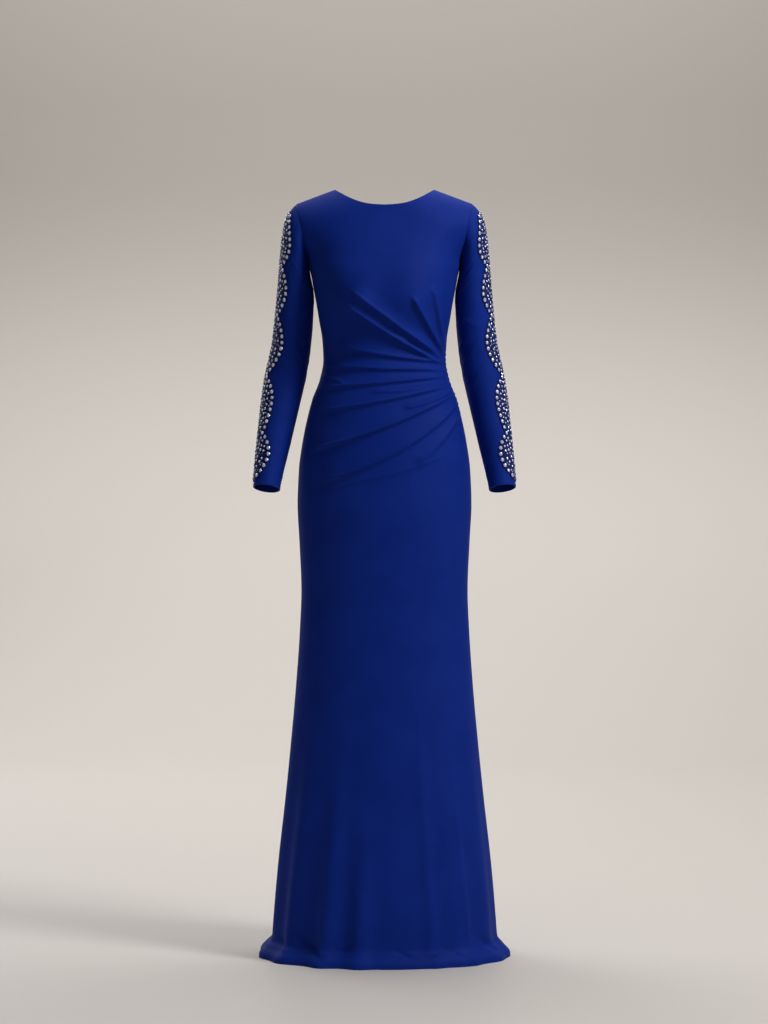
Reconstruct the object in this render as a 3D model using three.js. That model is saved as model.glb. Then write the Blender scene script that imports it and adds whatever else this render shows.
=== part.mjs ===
// A floor-length evening gown with long fitted sleeves, a bateau neck and a front panel
// ruched into the side seam at the waist. It keeps the hollow form that it has when worn.
// Millimetres. The origin lies between the two neck points of the shoulders.
// +X is the wearer's left, -Y is the front and +Z is up.

import * as THREE from 'three';

// Driving sizes of the cloth
const WALL = 2;
const SEAM_GAP = 0.3;
const FLOOR_Z = -1497;
const GOWN_BLUE = 0x0c2a8c;

// Shoulder line: it falls from the neck point to the top of the armhole.
const NECK_POINT_X = 98;
const SHOULDER = { x: 173, z: -28 };
const ARMPIT = { x: 148, z: -141 };
const FRONT_NECK_DROP = 36;
const BACK_NECK_DROP = 22;
const NECK_CURVE = 2.2;

// How the cloth rolls over the shoulder, and how the chest widens above the armpit
const ROLL_HEIGHT = 75;
const ROLL_POWER = 2.2;
const ARMHOLE_FLARE = 30;
const ARMHOLE_RISE = 55;
const ARMHOLE_ONSET = 2;

// Level sections of the gown: half width, depth in front and behind the side seam,
// and the power of the superellipse that joins them.
const SECTIONS = [
  { z: 0, half: 148, front: 62, back: 52, power: 2.3 },
  { z: -36, half: 148, front: 72, back: 64, power: 2.3 },
  { z: -100, half: 148, front: 93, back: 92, power: 2.3 },
  { z: -141, half: 148, front: 106, back: 100, power: 2.3 },
  { z: -176, half: 140, front: 115, back: 101, power: 2.3 },
  { z: -216, half: 133, front: 119, back: 97, power: 2.25 },
  { z: -255, half: 128, front: 112, back: 88, power: 2.2 },
  { z: -294, half: 122, front: 101, back: 78, power: 2.15 },
  { z: -333, half: 120, front: 95, back: 74, power: 2.1 },
  { z: -372, half: 127, front: 99, back: 83, power: 2.1 },
  { z: -412, half: 142, front: 107, back: 99, power: 2.1 },
  { z: -451, half: 152, front: 113, back: 113, power: 2.1 },
  { z: -490, half: 160, front: 116, back: 123, power: 2.1 },
  { z: -549, half: 168, front: 118, back: 130, power: 2.1 },
  { z: -617, half: 170.5, front: 118, back: 127, power: 2.1 },
  { z: -686, half: 167, front: 114, back: 118, power: 2.1 },
  { z: -784, half: 163, front: 112, back: 114, power: 2.1 },
  { z: -862, half: 166, front: 115, back: 119, power: 2.1 },
  { z: -960, half: 172.5, front: 123, back: 130, power: 2.1 },
  { z: -1078, half: 182, front: 138, back: 147, power: 2.1 },
  { z: -1196, half: 192, front: 154, back: 166, power: 2.1 },
  { z: -1313, half: 203, front: 171, back: 185, power: 2.1 },
  { z: -1431, half: 212, front: 187, back: 203, power: 2.1 },
  { z: -1452, half: 213.5, front: 189, back: 205, power: 2.1 },
  { z: -1464, half: 216.5, front: 191, back: 207, power: 2.1 },
  { z: -1473, half: 227, front: 197, back: 213, power: 2.1 },
  { z: -1482, half: 236, front: 204, back: 221, power: 2.1 },
  { z: -1490, half: 239.5, front: 207, back: 225, power: 2.1 },
  { z: FLOOR_Z, half: 240, front: 208, back: 226, power: 2.1 },
];

// Two cups shaped into the front panel
const CUP = { x: 66, z: -212, width: 52, height: 62, depth: 11 };

// Ruched folds of the front, seen from the front: where each is gathered into the left
// side, the point that bends it, its free end, and its width and height.
const RUCHES = [
  { name: 'bust_low', gather: [104, -338], bend: [14, -290], free: [-80, -222], width: 11, height: 6.5 },
  { name: 'bust_high', gather: [108, -326], bend: [40, -285], free: [-34, -216], width: 11, height: 6.5 },
  { name: 'bust_short', gather: [106, -332], bend: [76, -312], free: [44, -284], width: 6, height: 3 },
  { name: 'side_bust', gather: [113, -322], bend: [78, -276], free: [60, -214], width: 9, height: 5 },
  { name: 'side_high', gather: [116, -316], bend: [104, -260], free: [94, -196], width: 7, height: 4 },
  { name: 'waist_top', gather: [117, -340], bend: [8, -336], free: [-98, -306], width: 8, height: 5 },
  { name: 'waist_second', gather: [118, -355], bend: [0, -360], free: [-112, -346], width: 8, height: 5 },
  { name: 'waist_third', gather: [121, -367], bend: [4, -386], free: [-120, -389], width: 8, height: 4.5 },
  { name: 'waist_short', gather: [122, -378], bend: [52, -404], free: [-34, -398], width: 7, height: 3 },
  { name: 'hip_first', gather: [126, -385], bend: [0, -424], free: [-134, -435], width: 8, height: 4.5 },
  { name: 'hip_short', gather: [130, -395], bend: [88, -424], free: [34, -432], width: 7, height: 3.5 },
  { name: 'hip_second', gather: [133, -403], bend: [10, -478], free: [-146, -511], width: 9, height: 5 },
  { name: 'hip_long', gather: [140, -421], bend: [50, -530], free: [-122, -571], width: 10, height: 5 },
  { name: 'hip_side', gather: [144, -437], bend: [122, -492], free: [60, -540], width: 9, height: 3.5 },
];

// Soft folds that hang in the skirt: angle round the gown from the front, towards the
// wearer's left, the angle that each covers, its height at the hem and where it begins.
const DRAPES = [
  { angle: -74, spread: 11, height: 7, top: -900 },
  { angle: -47, spread: 12, height: 9, top: -1000 },
  { angle: -24, spread: 10, height: 6, top: -1150 },
  { angle: 2, spread: 14, height: 5, top: -1150 },
  { angle: 31, spread: 11, height: 8, top: -1000 },
  { angle: 57, spread: 12, height: 7, top: -900 },
  { angle: 84, spread: 11, height: 6, top: -950 },
  { angle: 112, spread: 12, height: 8, top: -1000 },
  { angle: 142, spread: 13, height: 10, top: -900 },
  { angle: 171, spread: 11, height: 9, top: -850 },
  { angle: 199, spread: 12, height: 10, top: -950 },
  { angle: 231, spread: 13, height: 8, top: -900 },
  { angle: 261, spread: 11, height: 7, top: -1000 },
];

// Sleeve stations from the armhole to the cuff: outer and inner edge seen from the front,
// middle and half depth from front to back, and the lean of the station's plane.
const SLEEVE = [
  { outX: 173, outZ: -28, inX: 148, inZ: -141, midY: 3, depth: 54, lean: 0 },
  { outX: 185, outZ: -42, inX: 147.6, inZ: -147, midY: 4, depth: 53, lean: 0 },
  { outX: 193.5, outZ: -62, inX: 146.8, inZ: -155, midY: 5, depth: 51, lean: 0 },
  { outX: 199, outZ: -88, inX: 145.6, inZ: -165, midY: 7, depth: 49, lean: 0 },
  { outX: 203, outZ: -125, inX: 143.8, inZ: -178, midY: 9, depth: 48, lean: 0 },
  { outX: 206.5, outZ: -168, inX: 142, inZ: -196, midY: 11, depth: 47, lean: 0 },
  { outX: 210.5, outZ: -216, inX: 140.5, inZ: -222, midY: 13, depth: 46, lean: 0 },
  { outX: 214.5, outZ: -255, inX: 140.8, inZ: -258, midY: 15, depth: 45, lean: 0 },
  { outX: 219, outZ: -296, inX: 144, inZ: -300, midY: 17, depth: 44, lean: 0.02 },
  { outX: 227, outZ: -334, inX: 149.5, inZ: -340, midY: 18, depth: 43, lean: 0.06 },
  { outX: 235, outZ: -372, inX: 156.5, inZ: -378, midY: 17, depth: 42.5, lean: 0.12 },
  { outX: 240.5, outZ: -412, inX: 165.5, inZ: -418, midY: 11, depth: 41, lean: 0.18 },
  { outX: 245.5, outZ: -462, inX: 177, inZ: -468, midY: 0, depth: 38, lean: 0.23 },
  { outX: 250.5, outZ: -516, inX: 189.5, inZ: -522, midY: -13, depth: 34, lean: 0.25 },
  { outX: 254, outZ: -560, inX: 200, inZ: -566, midY: -25, depth: 31, lean: 0.25 },
  { outX: 256, outZ: -582, inX: 204, inZ: -588, midY: -31, depth: 30, lean: 0.25 },
];
const CAP_STATIONS = 5;

// Beadwork band on each sleeve: scallops from the shoulder to the cuff, each with the
// height where it ends, and how far round the arm it reaches at its middle and its end.
const SCALLOPS_TOP_Z = -40;
const SCALLOPS = [
  { endZ: -147, middle: 62, end: 30 },
  { endZ: -247, middle: 56, end: 27 },
  { endZ: -366, middle: 57, end: 24 },
  { endZ: -484, middle: 68, end: 50 },
  { endZ: -566, middle: 82, end: 34 },
];
const SCALLOPS_TOP_ANGLE = 22;
const BAND = { thickness: 1.2, lift: 1.8, rows: 28, columns: 8, start: 0.07, end: 0.965 };

// Grid sizes of the panels: columns from the middle to the side seam, and how many of
// them lie inside the neck point
const COLUMNS = { front: 14, back: 10 };
const NECK_COLUMNS = { front: 9, back: 6 };
const UPPER_ROWS = 10;
const SLEEVE_COLUMNS = 2 * UPPER_ROWS;
const SLEEVE_ROWS = 20;
const RUCHED_STEP = 9;
const FRONT_CHEST_ROWS = [-150, -162, -176, -188];
const SKIRT_ROWS = [-640, -740, -850, -960, -1070, -1180, -1290, -1390, -1446, -1463, -1473, -1483,
  -1491, FLOOR_Z];
const RUCHED_TOP_Z = -196;
const RUCHED_BOTTOM_Z = -585;
const BACK_BODICE_ROWS = [-160, -190, -225, -262, -300, -333, -366, -400, -440, -490, -550];

// Concealed zip at the centre back, closed, with its slider just under the neck edge
const ZIP = { top: -25, bottom: -560, width: 22, thickness: 1.2, clearance: 0.9 };
const ZIP_COLUMNS = [-1, -0.5, 0, 0.5, 1];
const SLIDER = { z: -40, length: 9, base: 1.2, width: 2.2, bridgeLength: 6 };
const BRIDGE = { height: 3.2, wall: 0.8 };
const PULL = { length: 24, topWidth: 5.2, tipWidth: 7, thickness: 1, bar: 1, windowWidth: 3, window: 5 };

const lerp = (a, b, t) => a + (b - a) * t;
const clamp01 = (t) => Math.min(1, Math.max(0, t));
const smoothstep = (a, b, t) => {
  const s = clamp01((t - a) / (b - a));
  return s * s * (3 - 2 * s);
};
const radians = THREE.MathUtils.degToRad;

// Smooth curve through the rows of a table: a Hermite spline with limited slopes.
function tableAt(table, by, at, column) {
  const last = table.length - 1;
  const sign = Math.sign(table[last][by] - table[0][by]);
  let i = 0;
  while (i < last - 1 && sign * (at - table[i + 1][by]) > 0) i++;
  const slope = (j) => {
    const k = Math.min(Math.max(j, 0), last - 1);
    return (table[k + 1][column] - table[k][column]) / (table[k + 1][by] - table[k][by]);
  };
  const tangent = (j) => {
    const [before, after] = [slope(j - 1), slope(j)];
    return before * after <= 0 ? 0 : (2 * before * after) / (before + after);
  };
  const span = table[i + 1][by] - table[i][by];
  const t = clamp01((at - table[i][by]) / span);
  const [t2, t3] = [t * t, t * t * t];
  return (2 * t3 - 3 * t2 + 1) * table[i][column] + (t3 - 2 * t2 + t) * span * tangent(i)
    + (-2 * t3 + 3 * t2) * table[i + 1][column] + (t3 - t2) * span * tangent(i + 1);
}

// The armhole lies in a leaning plane: its distance from the middle at a height.
const armholeX = (z) => lerp(ARMPIT.x, SHOULDER.x, (z - ARMPIT.z) / (SHOULDER.z - ARMPIT.z));
const armholeNormal = new THREE.Vector3(SHOULDER.z - ARMPIT.z, 0, ARMPIT.x - SHOULDER.x).normalize();

// Half width of the level section at a height. Above the armpit it runs on into the sleeve.
function halfWidth(z) {
  if (z <= ARMPIT.z) return tableAt(SECTIONS, 'z', z, 'half');
  const rise = ((z - ARMPIT.z) / ARMHOLE_RISE) ** ARMHOLE_ONSET;
  return armholeX(z) + ARMHOLE_FLARE * (1 - Math.exp(-rise));
}

// Height of the shoulder line over a point, carried on inwards over the neck opening
const shoulderZ = (x) => (SHOULDER.z * (Math.abs(x) - NECK_POINT_X)) / (SHOULDER.x - NECK_POINT_X);

// Top edge of a panel: the neckline, then the shoulder seam
function topEdgeZ(x, neckDrop) {
  const r = Math.abs(x) / NECK_POINT_X;
  return r >= 1 ? shoulderZ(x) : -neckDrop * (1 - r ** NECK_CURVE);
}

function rollShare(below) {
  const t = clamp01(below / ROLL_HEIGHT);
  return (1 - (1 - t) ** ROLL_POWER) ** (1 / ROLL_POWER);
}

// Distance of the cloth from the side seam's plane, at x on the section of half width a
function depthAt(x, z, a, side) {
  const power = tableAt(SECTIONS, 'z', z, 'power');
  const arc = Math.max(0, 1 - (Math.abs(x) / a) ** power) ** (1 / power);
  return tableAt(SECTIONS, 'z', z, side) * arc * rollShare(shoulderZ(x) - z);
}

// Cloth without folds: u runs from -1 to 1 between the side edges. A row below the armpit
// has its own height; one above it has a share of the way up to the top edge.
function bodyPoint(u, row, side) {
  const edgeZ = row.up === undefined ? row.z : lerp(ARMPIT.z, SHOULDER.z, row.up);
  const up = row.up ?? 0;
  const a = halfWidth(edgeZ);
  const power = tableAt(SECTIONS, 'z', edgeZ, 'power');
  const edgeShare = row.up === undefined ? 1 : armholeX(edgeZ) / a;
  const edgeAngle = Math.asin(edgeShare ** (power / 2));
  const bySection = Math.sin(Math.abs(u) * edgeAngle) ** (2 / power) / edgeShare;
  const neckShare = NECK_POINT_X / SHOULDER.x;
  const neckU = NECK_COLUMNS[side] / COLUMNS[side];
  const byNeck = (s) => s <= neckU ? (neckShare * s) / neckU
    : lerp(neckShare, 1, (s - neckU) / (1 - neckU));
  const x = Math.sign(u) * lerp(bySection, byNeck(Math.abs(u)), up * up) * edgeShare * a;
  const drop = side === 'front' ? FRONT_NECK_DROP : BACK_NECK_DROP;
  const topX = byNeck(Math.abs(u)) * SHOULDER.x;
  const z = row.up === undefined ? row.z : lerp(ARMPIT.z, topEdgeZ(topX, drop), up);
  const y = depthAt(x, z, a, side) * (side === 'front' ? -1 : 1);
  return new THREE.Vector3(x, y, z);
}

const cupDepth = (x, z) => CUP.depth * Math.exp(-(((Math.abs(x) - CUP.x) / CUP.width) ** 2))
  * Math.exp(-(((z - CUP.z) / CUP.height) ** 2));

// Height of one ruched fold over a point of the front. Its lower flank is the steeper one.
function ruchHeight(fold, x, z) {
  const [g, b, f] = [fold.gather, fold.bend, fold.free];
  let best = { d: Infinity, t: 0, above: 0 };
  for (let i = 0; i <= 40; i++) {
    const t = i / 40;
    const px = (1 - t) ** 2 * g[0] + 2 * t * (1 - t) * b[0] + t * t * f[0];
    const pz = (1 - t) ** 2 * g[1] + 2 * t * (1 - t) * b[1] + t * t * f[1];
    const d = Math.hypot(x - px, z - pz);
    if (d < best.d) best = { d, t, above: z - pz };
  }
  const width = fold.width * lerp(0.62, 1.15, best.t) * (best.above < 0 ? 0.72 : 1.2);
  const along = smoothstep(-0.05, 0.22, best.t) * (1 - smoothstep(0.55, 1, best.t));
  return fold.height * along * Math.exp(-((best.d / width) ** 2));
}

function drapeHeight(point) {
  const around = THREE.MathUtils.radToDeg(Math.atan2(point.x, -point.y));
  return DRAPES.reduce((sum, d) => {
    const off = THREE.MathUtils.euclideanModulo(around - d.angle + 180, 360) - 180;
    const grown = smoothstep(d.top, FLOOR_Z + 60, point.z);
    return sum + d.height * grown * Math.exp(-((off / d.spread) ** 2));
  }, 0);
}

// Grid helpers: points[row][column]
function gridNormals(points, closed) {
  const columns = points[0].length;
  return points.map((row, r) => row.map((_, c) => {
    const up = points[Math.max(r - 1, 0)][c];
    const down = points[Math.min(r + 1, points.length - 1)][c];
    const left = closed ? row[(c + columns - 1) % columns] : row[Math.max(c - 1, 0)];
    const right = closed ? row[(c + 1) % columns] : row[Math.min(c + 1, columns - 1)];
    const across = right.clone().sub(left);
    return across.cross(up.clone().sub(down)).normalize();
  }));
}

// A closed solid between an outer and an inner grid. Rows run down and columns to the
// right as seen from outside; a closed grid joins its last column to its first.
function wallGeometry(outer, inner, closed = false) {
  const rows = outer.length;
  const columns = outer[0].length;
  const positions = [...outer.flat(), ...inner.flat()].flatMap((p) => p.toArray());
  const index = [];
  const out = (r, c) => r * columns + (c % columns);
  const inn = (r, c) => rows * columns + out(r, c);
  const quad = (a, b, c, d) => index.push(a, b, c, a, c, d);
  const spans = closed ? columns : columns - 1;
  for (let r = 0; r < rows - 1; r++) {
    for (let c = 0; c < spans; c++) {
      quad(out(r, c), out(r + 1, c), out(r + 1, c + 1), out(r, c + 1));
      quad(inn(r, c), inn(r, c + 1), inn(r + 1, c + 1), inn(r + 1, c));
    }
    if (!closed) {
      quad(out(r, 0), inn(r, 0), inn(r + 1, 0), out(r + 1, 0));
      const e = columns - 1;
      quad(out(r, e), out(r + 1, e), inn(r + 1, e), inn(r, e));
    }
  }
  for (let c = 0; c < spans; c++) {
    const e = rows - 1;
    quad(out(0, c), out(0, c + 1), inn(0, c + 1), inn(0, c));
    quad(out(e, c), inn(e, c), inn(e, c + 1), out(e, c + 1));
  }
  const geometry = new THREE.BufferGeometry();
  geometry.setAttribute('position', new THREE.Float32BufferAttribute(positions, 3));
  geometry.setIndex(index);
  geometry.computeVertexNormals();
  return geometry;
}

// Direction towards the middle of the armhole loop, in the loop's own plane
function armholeInward(point) {
  const along = (point.z - ARMPIT.z) / (SHOULDER.z - ARMPIT.z);
  const step = 0.02;
  const edge = (t) => {
    const z = lerp(ARMPIT.z, SHOULDER.z, clamp01(t));
    const side = point.y < 0 ? 'front' : 'back';
    return new THREE.Vector3(armholeX(z), Math.sign(point.y) * depthAt(armholeX(z), z, halfWidth(z), side), z);
  };
  if (along < step) return new THREE.Vector3(0, 0, 1);
  if (along > 1 - step / 2) return new THREE.Vector3(0, 0, -1);
  const tangent = edge(along + step / 2).sub(edge(along - step / 2));
  const inward = tangent.cross(armholeNormal).normalize();
  return inward.y * point.y > 0 ? inward.negate() : inward;
}

const upperRows = Array.from({ length: UPPER_ROWS }, (_, i) => (
  { up: (1 + Math.cos((Math.PI * i) / UPPER_ROWS)) / 2 }));
const ruchedCount = Math.round((RUCHED_TOP_Z - RUCHED_BOTTOM_Z) / RUCHED_STEP);
const ruchedRows = Array.from({ length: ruchedCount + 1 }, (_, i) => (
  lerp(RUCHED_TOP_Z, RUCHED_BOTTOM_Z, i / ruchedCount)));
const rowsAt = (heights) => heights.map((z) => ({ z }));

// One cloth panel of the body, from its top edge to the hem. Its seam edges stay in the
// seam's plane, so a neighbour never meets it.
function bodyPanel({ side, from, to, rows }) {
  const columns = (to - from) * COLUMNS[side];
  const us = Array.from({ length: columns + 1 }, (_, i) => lerp(from, to, i / columns));
  if (side === 'back') us.reverse();
  const bare = rows.map((row) => us.map((u) => bodyPoint(u, row, side)));
  const bareNormals = gridNormals(bare, false);
  const outer = bare.map((line, r) => line.map((p, c) => {
    const edge = Math.abs(Math.abs(us[c]) - 1) < 1e-6;
    const raised = side === 'front' && !edge
      ? RUCHES.reduce((sum, fold) => sum + ruchHeight(fold, p.x, p.z), 0) : 0;
    const cups = side === 'front' ? cupDepth(p.x, p.z) * (1 - Math.abs(us[c]) ** 4) : 0;
    const moved = p.clone().addScaledVector(bareNormals[r][c], raised);
    moved.y -= cups;
    const out = new THREE.Vector3(p.x, p.y, 0).normalize();
    return moved.addScaledVector(out, drapeHeight(p));
  }));
  const normals = gridNormals(outer, false);
  const seamY = (side === 'front' ? -1 : 1) * (SEAM_GAP / 2);
  const inner = outer.map((line, r) => line.map((p, c) => {
    const row = rows[r];
    const sideEdge = Math.abs(Math.abs(us[c]) - 1) < 1e-6;
    const backEdge = side === 'back' && Math.abs(us[c]) < 1e-6;
    const shoulderEdge = row.up === 1 && Math.abs(p.x) >= NECK_POINT_X - 1e-3;
    const way = normals[r][c].clone().negate();
    if (sideEdge && row.up > 0 && row.up < 1) {
      const inward = armholeInward(new THREE.Vector3(Math.abs(p.x), p.y, p.z));
      way.set(inward.x * Math.sign(p.x), inward.y, inward.z);
      way.x -= 0.3 * Math.sign(p.x);
    } else if (sideEdge && row.up === 1) {
      way.set(-0.3 * Math.sign(p.x), 0, -1);
    } else if (sideEdge) {
      way.set(-Math.sign(p.x), 0, row.z === undefined || row.z > ARMPIT.z - 6 ? 0.8 : 0);
    } else if (shoulderEdge) {
      way.set(0, 0, -1);
    }
    if (backEdge) way.x = 0;
    if (r === rows.length - 1) way.z = 0;
    return p.clone().addScaledVector(way.normalize(), WALL);
  }));
  const seal = (line, r) => line.forEach((p, c) => {
    const sideEdge = Math.abs(Math.abs(us[c]) - 1) < 1e-6;
    if (sideEdge && rows[r].up > 0) p.addScaledVector(mirrored(armholeNormal, p.x), -SEAM_GAP / 2);
    if (sideEdge || rows[r].up === 1) {
      p.y = side === 'front' ? Math.min(p.y, seamY) : Math.max(p.y, seamY);
    }
    if (side === 'back' && Math.abs(us[c]) < 1e-6) p.x = (from < 0 ? -1 : 1) * (SEAM_GAP / 2);
  });
  outer.forEach(seal);
  inner.forEach(seal);
  return wallGeometry(outer, inner);
}

const mirrored = (v, x) => new THREE.Vector3(v.x * Math.sign(x), v.y, v.z);

// Cloth of the right-hand side's sleeve in the picture: s runs down it and the angle round
// it, from the outer edge over the front to the inner edge and the back.
const sleeveTable = SLEEVE.map((row, i) => ({ ...row, s: i / (SLEEVE.length - 1) }));
function sleevePoint(s, angle) {
  const at = (column) => tableAt(sleeveTable, 's', s, column);
  const [share, round] = [(1 + Math.cos(angle)) / 2, Math.sin(angle)];
  const x = lerp(at('inX'), at('outX'), share);
  const z = lerp(at('inZ'), at('outZ'), share);
  const armY = at('midY') - at('depth') * round;
  const capEnd = CAP_STATIONS / (SLEEVE.length - 1);
  const atArmhole = 1 - smoothstep(0, capEnd, s);
  const loopZ = lerp(ARMPIT.z, SHOULDER.z, share);
  const side = round >= 0 ? 'front' : 'back';
  const loopY = -Math.sign(round) * depthAt(armholeX(loopZ), loopZ, halfWidth(loopZ), side);
  const y = lerp(armY, loopY, atArmhole);
  return new THREE.Vector3(x, y, z - at('lean') * (y - at('midY')));
}

const sleeveSteps = Array.from({ length: SLEEVE_ROWS + 1 }, (_, i) => i / SLEEVE_ROWS);
const aroundSteps = Array.from({ length: SLEEVE_COLUMNS }, (_, i) => (2 * Math.PI * i) / SLEEVE_COLUMNS);

function sleeveNormal(s, angle) {
  const [ds, da] = [0.004, 0.02];
  const [s0, s1] = [Math.max(0, s - ds), Math.min(1, s + ds)];
  const down = sleevePoint(s1, angle).sub(sleevePoint(s0, angle));
  const round = sleevePoint(s, angle + da).sub(sleevePoint(s, angle - da));
  return round.cross(down).normalize();
}

// A sleeve's wall on the wearer's left, or mirrored onto the right
function sleeveGeometry(hand) {
  const angles = hand > 0 ? [...aroundSteps].reverse() : aroundSteps;
  const outer = sleeveSteps.map((s) => angles.map((a) => sleevePoint(s, a)));
  const inner = sleeveSteps.map((s, r) => angles.map((a, c) => {
    const p = outer[r][c];
    const way = sleeveNormal(s, a).negate();
    if (r === 0) way.copy(armholeInward(p)).addScaledVector(armholeNormal, 0.3);
    return p.clone().addScaledVector(way.normalize(), WALL);
  }));
  outer[0].concat(inner[0]).forEach((p) => p.addScaledVector(armholeNormal, SEAM_GAP / 2));
  const place = (grid) => grid.map((line) => line.map((p) => p.clone().setX(p.x * hand)));
  return wallGeometry(place(outer), place(inner), true);
}

// How far round the arm the beadwork reaches at a height of the sleeve's outer edge
function scallopAngle(z) {
  let [startZ, startAngle] = [SCALLOPS_TOP_Z, SCALLOPS_TOP_ANGLE];
  for (const lobe of SCALLOPS) {
    if (z >= lobe.endZ) {
      const t = clamp01((startZ - z) / (startZ - lobe.endZ));
      return lerp(lerp(startAngle, lobe.end, t), lobe.middle, Math.sin(Math.PI * t) ** 0.7);
    }
    [startZ, startAngle] = [lobe.endZ, lobe.end];
  }
  return startAngle;
}

// The beadwork band lies on the outer side of the sleeve, made from the sleeve's points.
function beadworkGeometry(hand) {
  const layer = (lift) => Array.from({ length: BAND.rows + 1 }, (_, r) => {
    const s = lerp(BAND.start, BAND.end, r / BAND.rows);
    const reach = radians(scallopAngle(sleevePoint(s, 0).z));
    return Array.from({ length: BAND.columns + 1 }, (_, c) => {
      const angle = lerp(-reach, reach, c / BAND.columns) * -hand;
      const p = sleevePoint(s, angle).addScaledVector(sleeveNormal(s, angle), lift);
      return p.setX(p.x * hand);
    });
  });
  return wallGeometry(layer(BAND.lift + BAND.thickness), layer(BAND.lift));
}

// A point of the centre back seam, at about a height
const upAt = (z) => (z - ARMPIT.z) / (topEdgeZ(0, BACK_NECK_DROP) - ARMPIT.z);
const centreBack = (row) => bodyPoint(1e-6, row, 'back').setX(0);
const centreBackAt = (z) => centreBack(z > ARMPIT.z ? { up: upAt(z) } : { z });

// The zip's tape and coil lie inside the centre back seam, on the panel's own rows.
function zipGeometry(rows) {
  const middles = rows.map(centreBack).filter((p) => p.z < ZIP.top && p.z > ZIP.bottom);
  const layer = (depth) => middles.map((middle) => ZIP_COLUMNS.map((share) => {
    const x = (-share * ZIP.width) / 2;
    const y = depthAt(x, middle.z, halfWidth(middle.z), 'back');
    return new THREE.Vector3(x, y - depth, middle.z);
  }));
  const near = WALL + ZIP.clearance;
  return wallGeometry(layer(near), layer(near + ZIP.thickness));
}

// The slider's frame: on the outside of the seam, with Y away from the cloth
function sliderPlace() {
  const half = SLIDER.length / 2;
  const slope = centreBackAt(SLIDER.z + half).sub(centreBackAt(SLIDER.z - half));
  return { point: centreBackAt(SLIDER.z), tilt: Math.atan2(-slope.y, slope.z) };
}

function sliderGeometry() {
  const half = SLIDER.length / 2;
  const [span, wall, top] = [SLIDER.bridgeLength / 2, BRIDGE.wall, SLIDER.base + BRIDGE.height];
  const outline = new THREE.Shape([[0, -half], [SLIDER.base, -half], [SLIDER.base, -span],
    [top, -span], [top, span], [SLIDER.base, span], [SLIDER.base, half], [0, half]]
    .map(([y, z]) => new THREE.Vector2(y, z)));
  outline.holes.push(new THREE.Path([[SLIDER.base, -span + wall], [SLIDER.base, span - wall],
    [top - wall, span - wall], [top - wall, -span + wall]].map(([y, z]) => new THREE.Vector2(y, z))));
  const solid = new THREE.ExtrudeGeometry(outline, { depth: SLIDER.width, bevelEnabled: false });
  solid.translate(0, 0, -SLIDER.width / 2);
  // The outline's own axes become the slider's Y and Z, and its depth becomes X.
  return solid.applyMatrix4(new THREE.Matrix4().set(0, 0, 1, 0, 1, 0, 0, 0, 0, 1, 0, 0, 0, 0, 0, 1));
}

// The drop-shaped pull: its bar runs through the slider's bridge.
function pullGeometry() {
  const [top, tip, w] = [PULL.topWidth / 2, PULL.tipWidth / 2, PULL.windowWidth / 2];
  const shape = new THREE.Shape();
  shape.moveTo(top, PULL.bar / 2);
  shape.lineTo(-top, PULL.bar / 2);
  shape.lineTo(-top, -PULL.window);
  shape.lineTo(-tip, tip - PULL.length);
  shape.absarc(0, tip - PULL.length, tip, Math.PI, 2 * Math.PI, false);
  shape.lineTo(top, -PULL.window);
  shape.closePath();
  const window = new THREE.Path([[-w, -PULL.bar / 2], [w, -PULL.bar / 2], [w, 1 - PULL.window],
    [-w, 1 - PULL.window]].map(([x, z]) => new THREE.Vector2(x, z)));
  shape.holes.push(window);
  const solid = new THREE.ExtrudeGeometry(shape, { depth: PULL.thickness, bevelEnabled: false, curveSegments: 12 });
  solid.translate(0, 0, -PULL.thickness / 2);
  return solid.rotateX(Math.PI / 2);
}

const cloth = (roughness = 0.75) => new THREE.MeshStandardMaterial({ color: GOWN_BLUE, roughness });
const metal = () => new THREE.MeshStandardMaterial({ color: 0x16327e, roughness: 0.35, metalness: 0.6 });

const gown = new THREE.Group();
gown.name = 'evening_gown';

function addMesh(name, geometry, material) {
  const mesh = new THREE.Mesh(geometry, material);
  mesh.name = name;
  gown.add(mesh);
  return mesh;
}

const frontRows = [...upperRows, ...rowsAt([ARMPIT.z, ...FRONT_CHEST_ROWS, ...ruchedRows, ...SKIRT_ROWS])];
const backRows = [...upperRows, ...rowsAt([ARMPIT.z, ...BACK_BODICE_ROWS, ...SKIRT_ROWS])];
addMesh('front', bodyPanel({ side: 'front', from: -1, to: 1, rows: frontRows }), cloth());
addMesh('back_left', bodyPanel({ side: 'back', from: 0, to: 1, rows: backRows }), cloth());
addMesh('back_right', bodyPanel({ side: 'back', from: -1, to: 0, rows: backRows }), cloth());

for (const [name, hand] of [['left', 1], ['right', -1]]) {
  addMesh(`sleeve_${name}`, sleeveGeometry(hand), cloth());
  addMesh(`beadwork_${name}`, beadworkGeometry(hand), new THREE.MeshStandardMaterial({
    color: 0xc9ccd6, roughness: 0.25, metalness: 0.3 }));
}

addMesh('back_zip', zipGeometry(backRows), cloth(0.6));
const { point, tilt } = sliderPlace();
const slider = addMesh('zip_slider', sliderGeometry(), metal());
const pull = addMesh('zip_pull', pullGeometry(), metal());
const outward = new THREE.Vector3(0, Math.cos(tilt), Math.sin(tilt));
slider.rotation.x = tilt;
slider.position.copy(point).addScaledVector(outward, SEAM_GAP);
pull.rotation.x = tilt;
const barHeight = SLIDER.base + (BRIDGE.height - BRIDGE.wall) / 2;
pull.position.copy(point).addScaledVector(outward, SEAM_GAP + barHeight);

export default gown;
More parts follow.
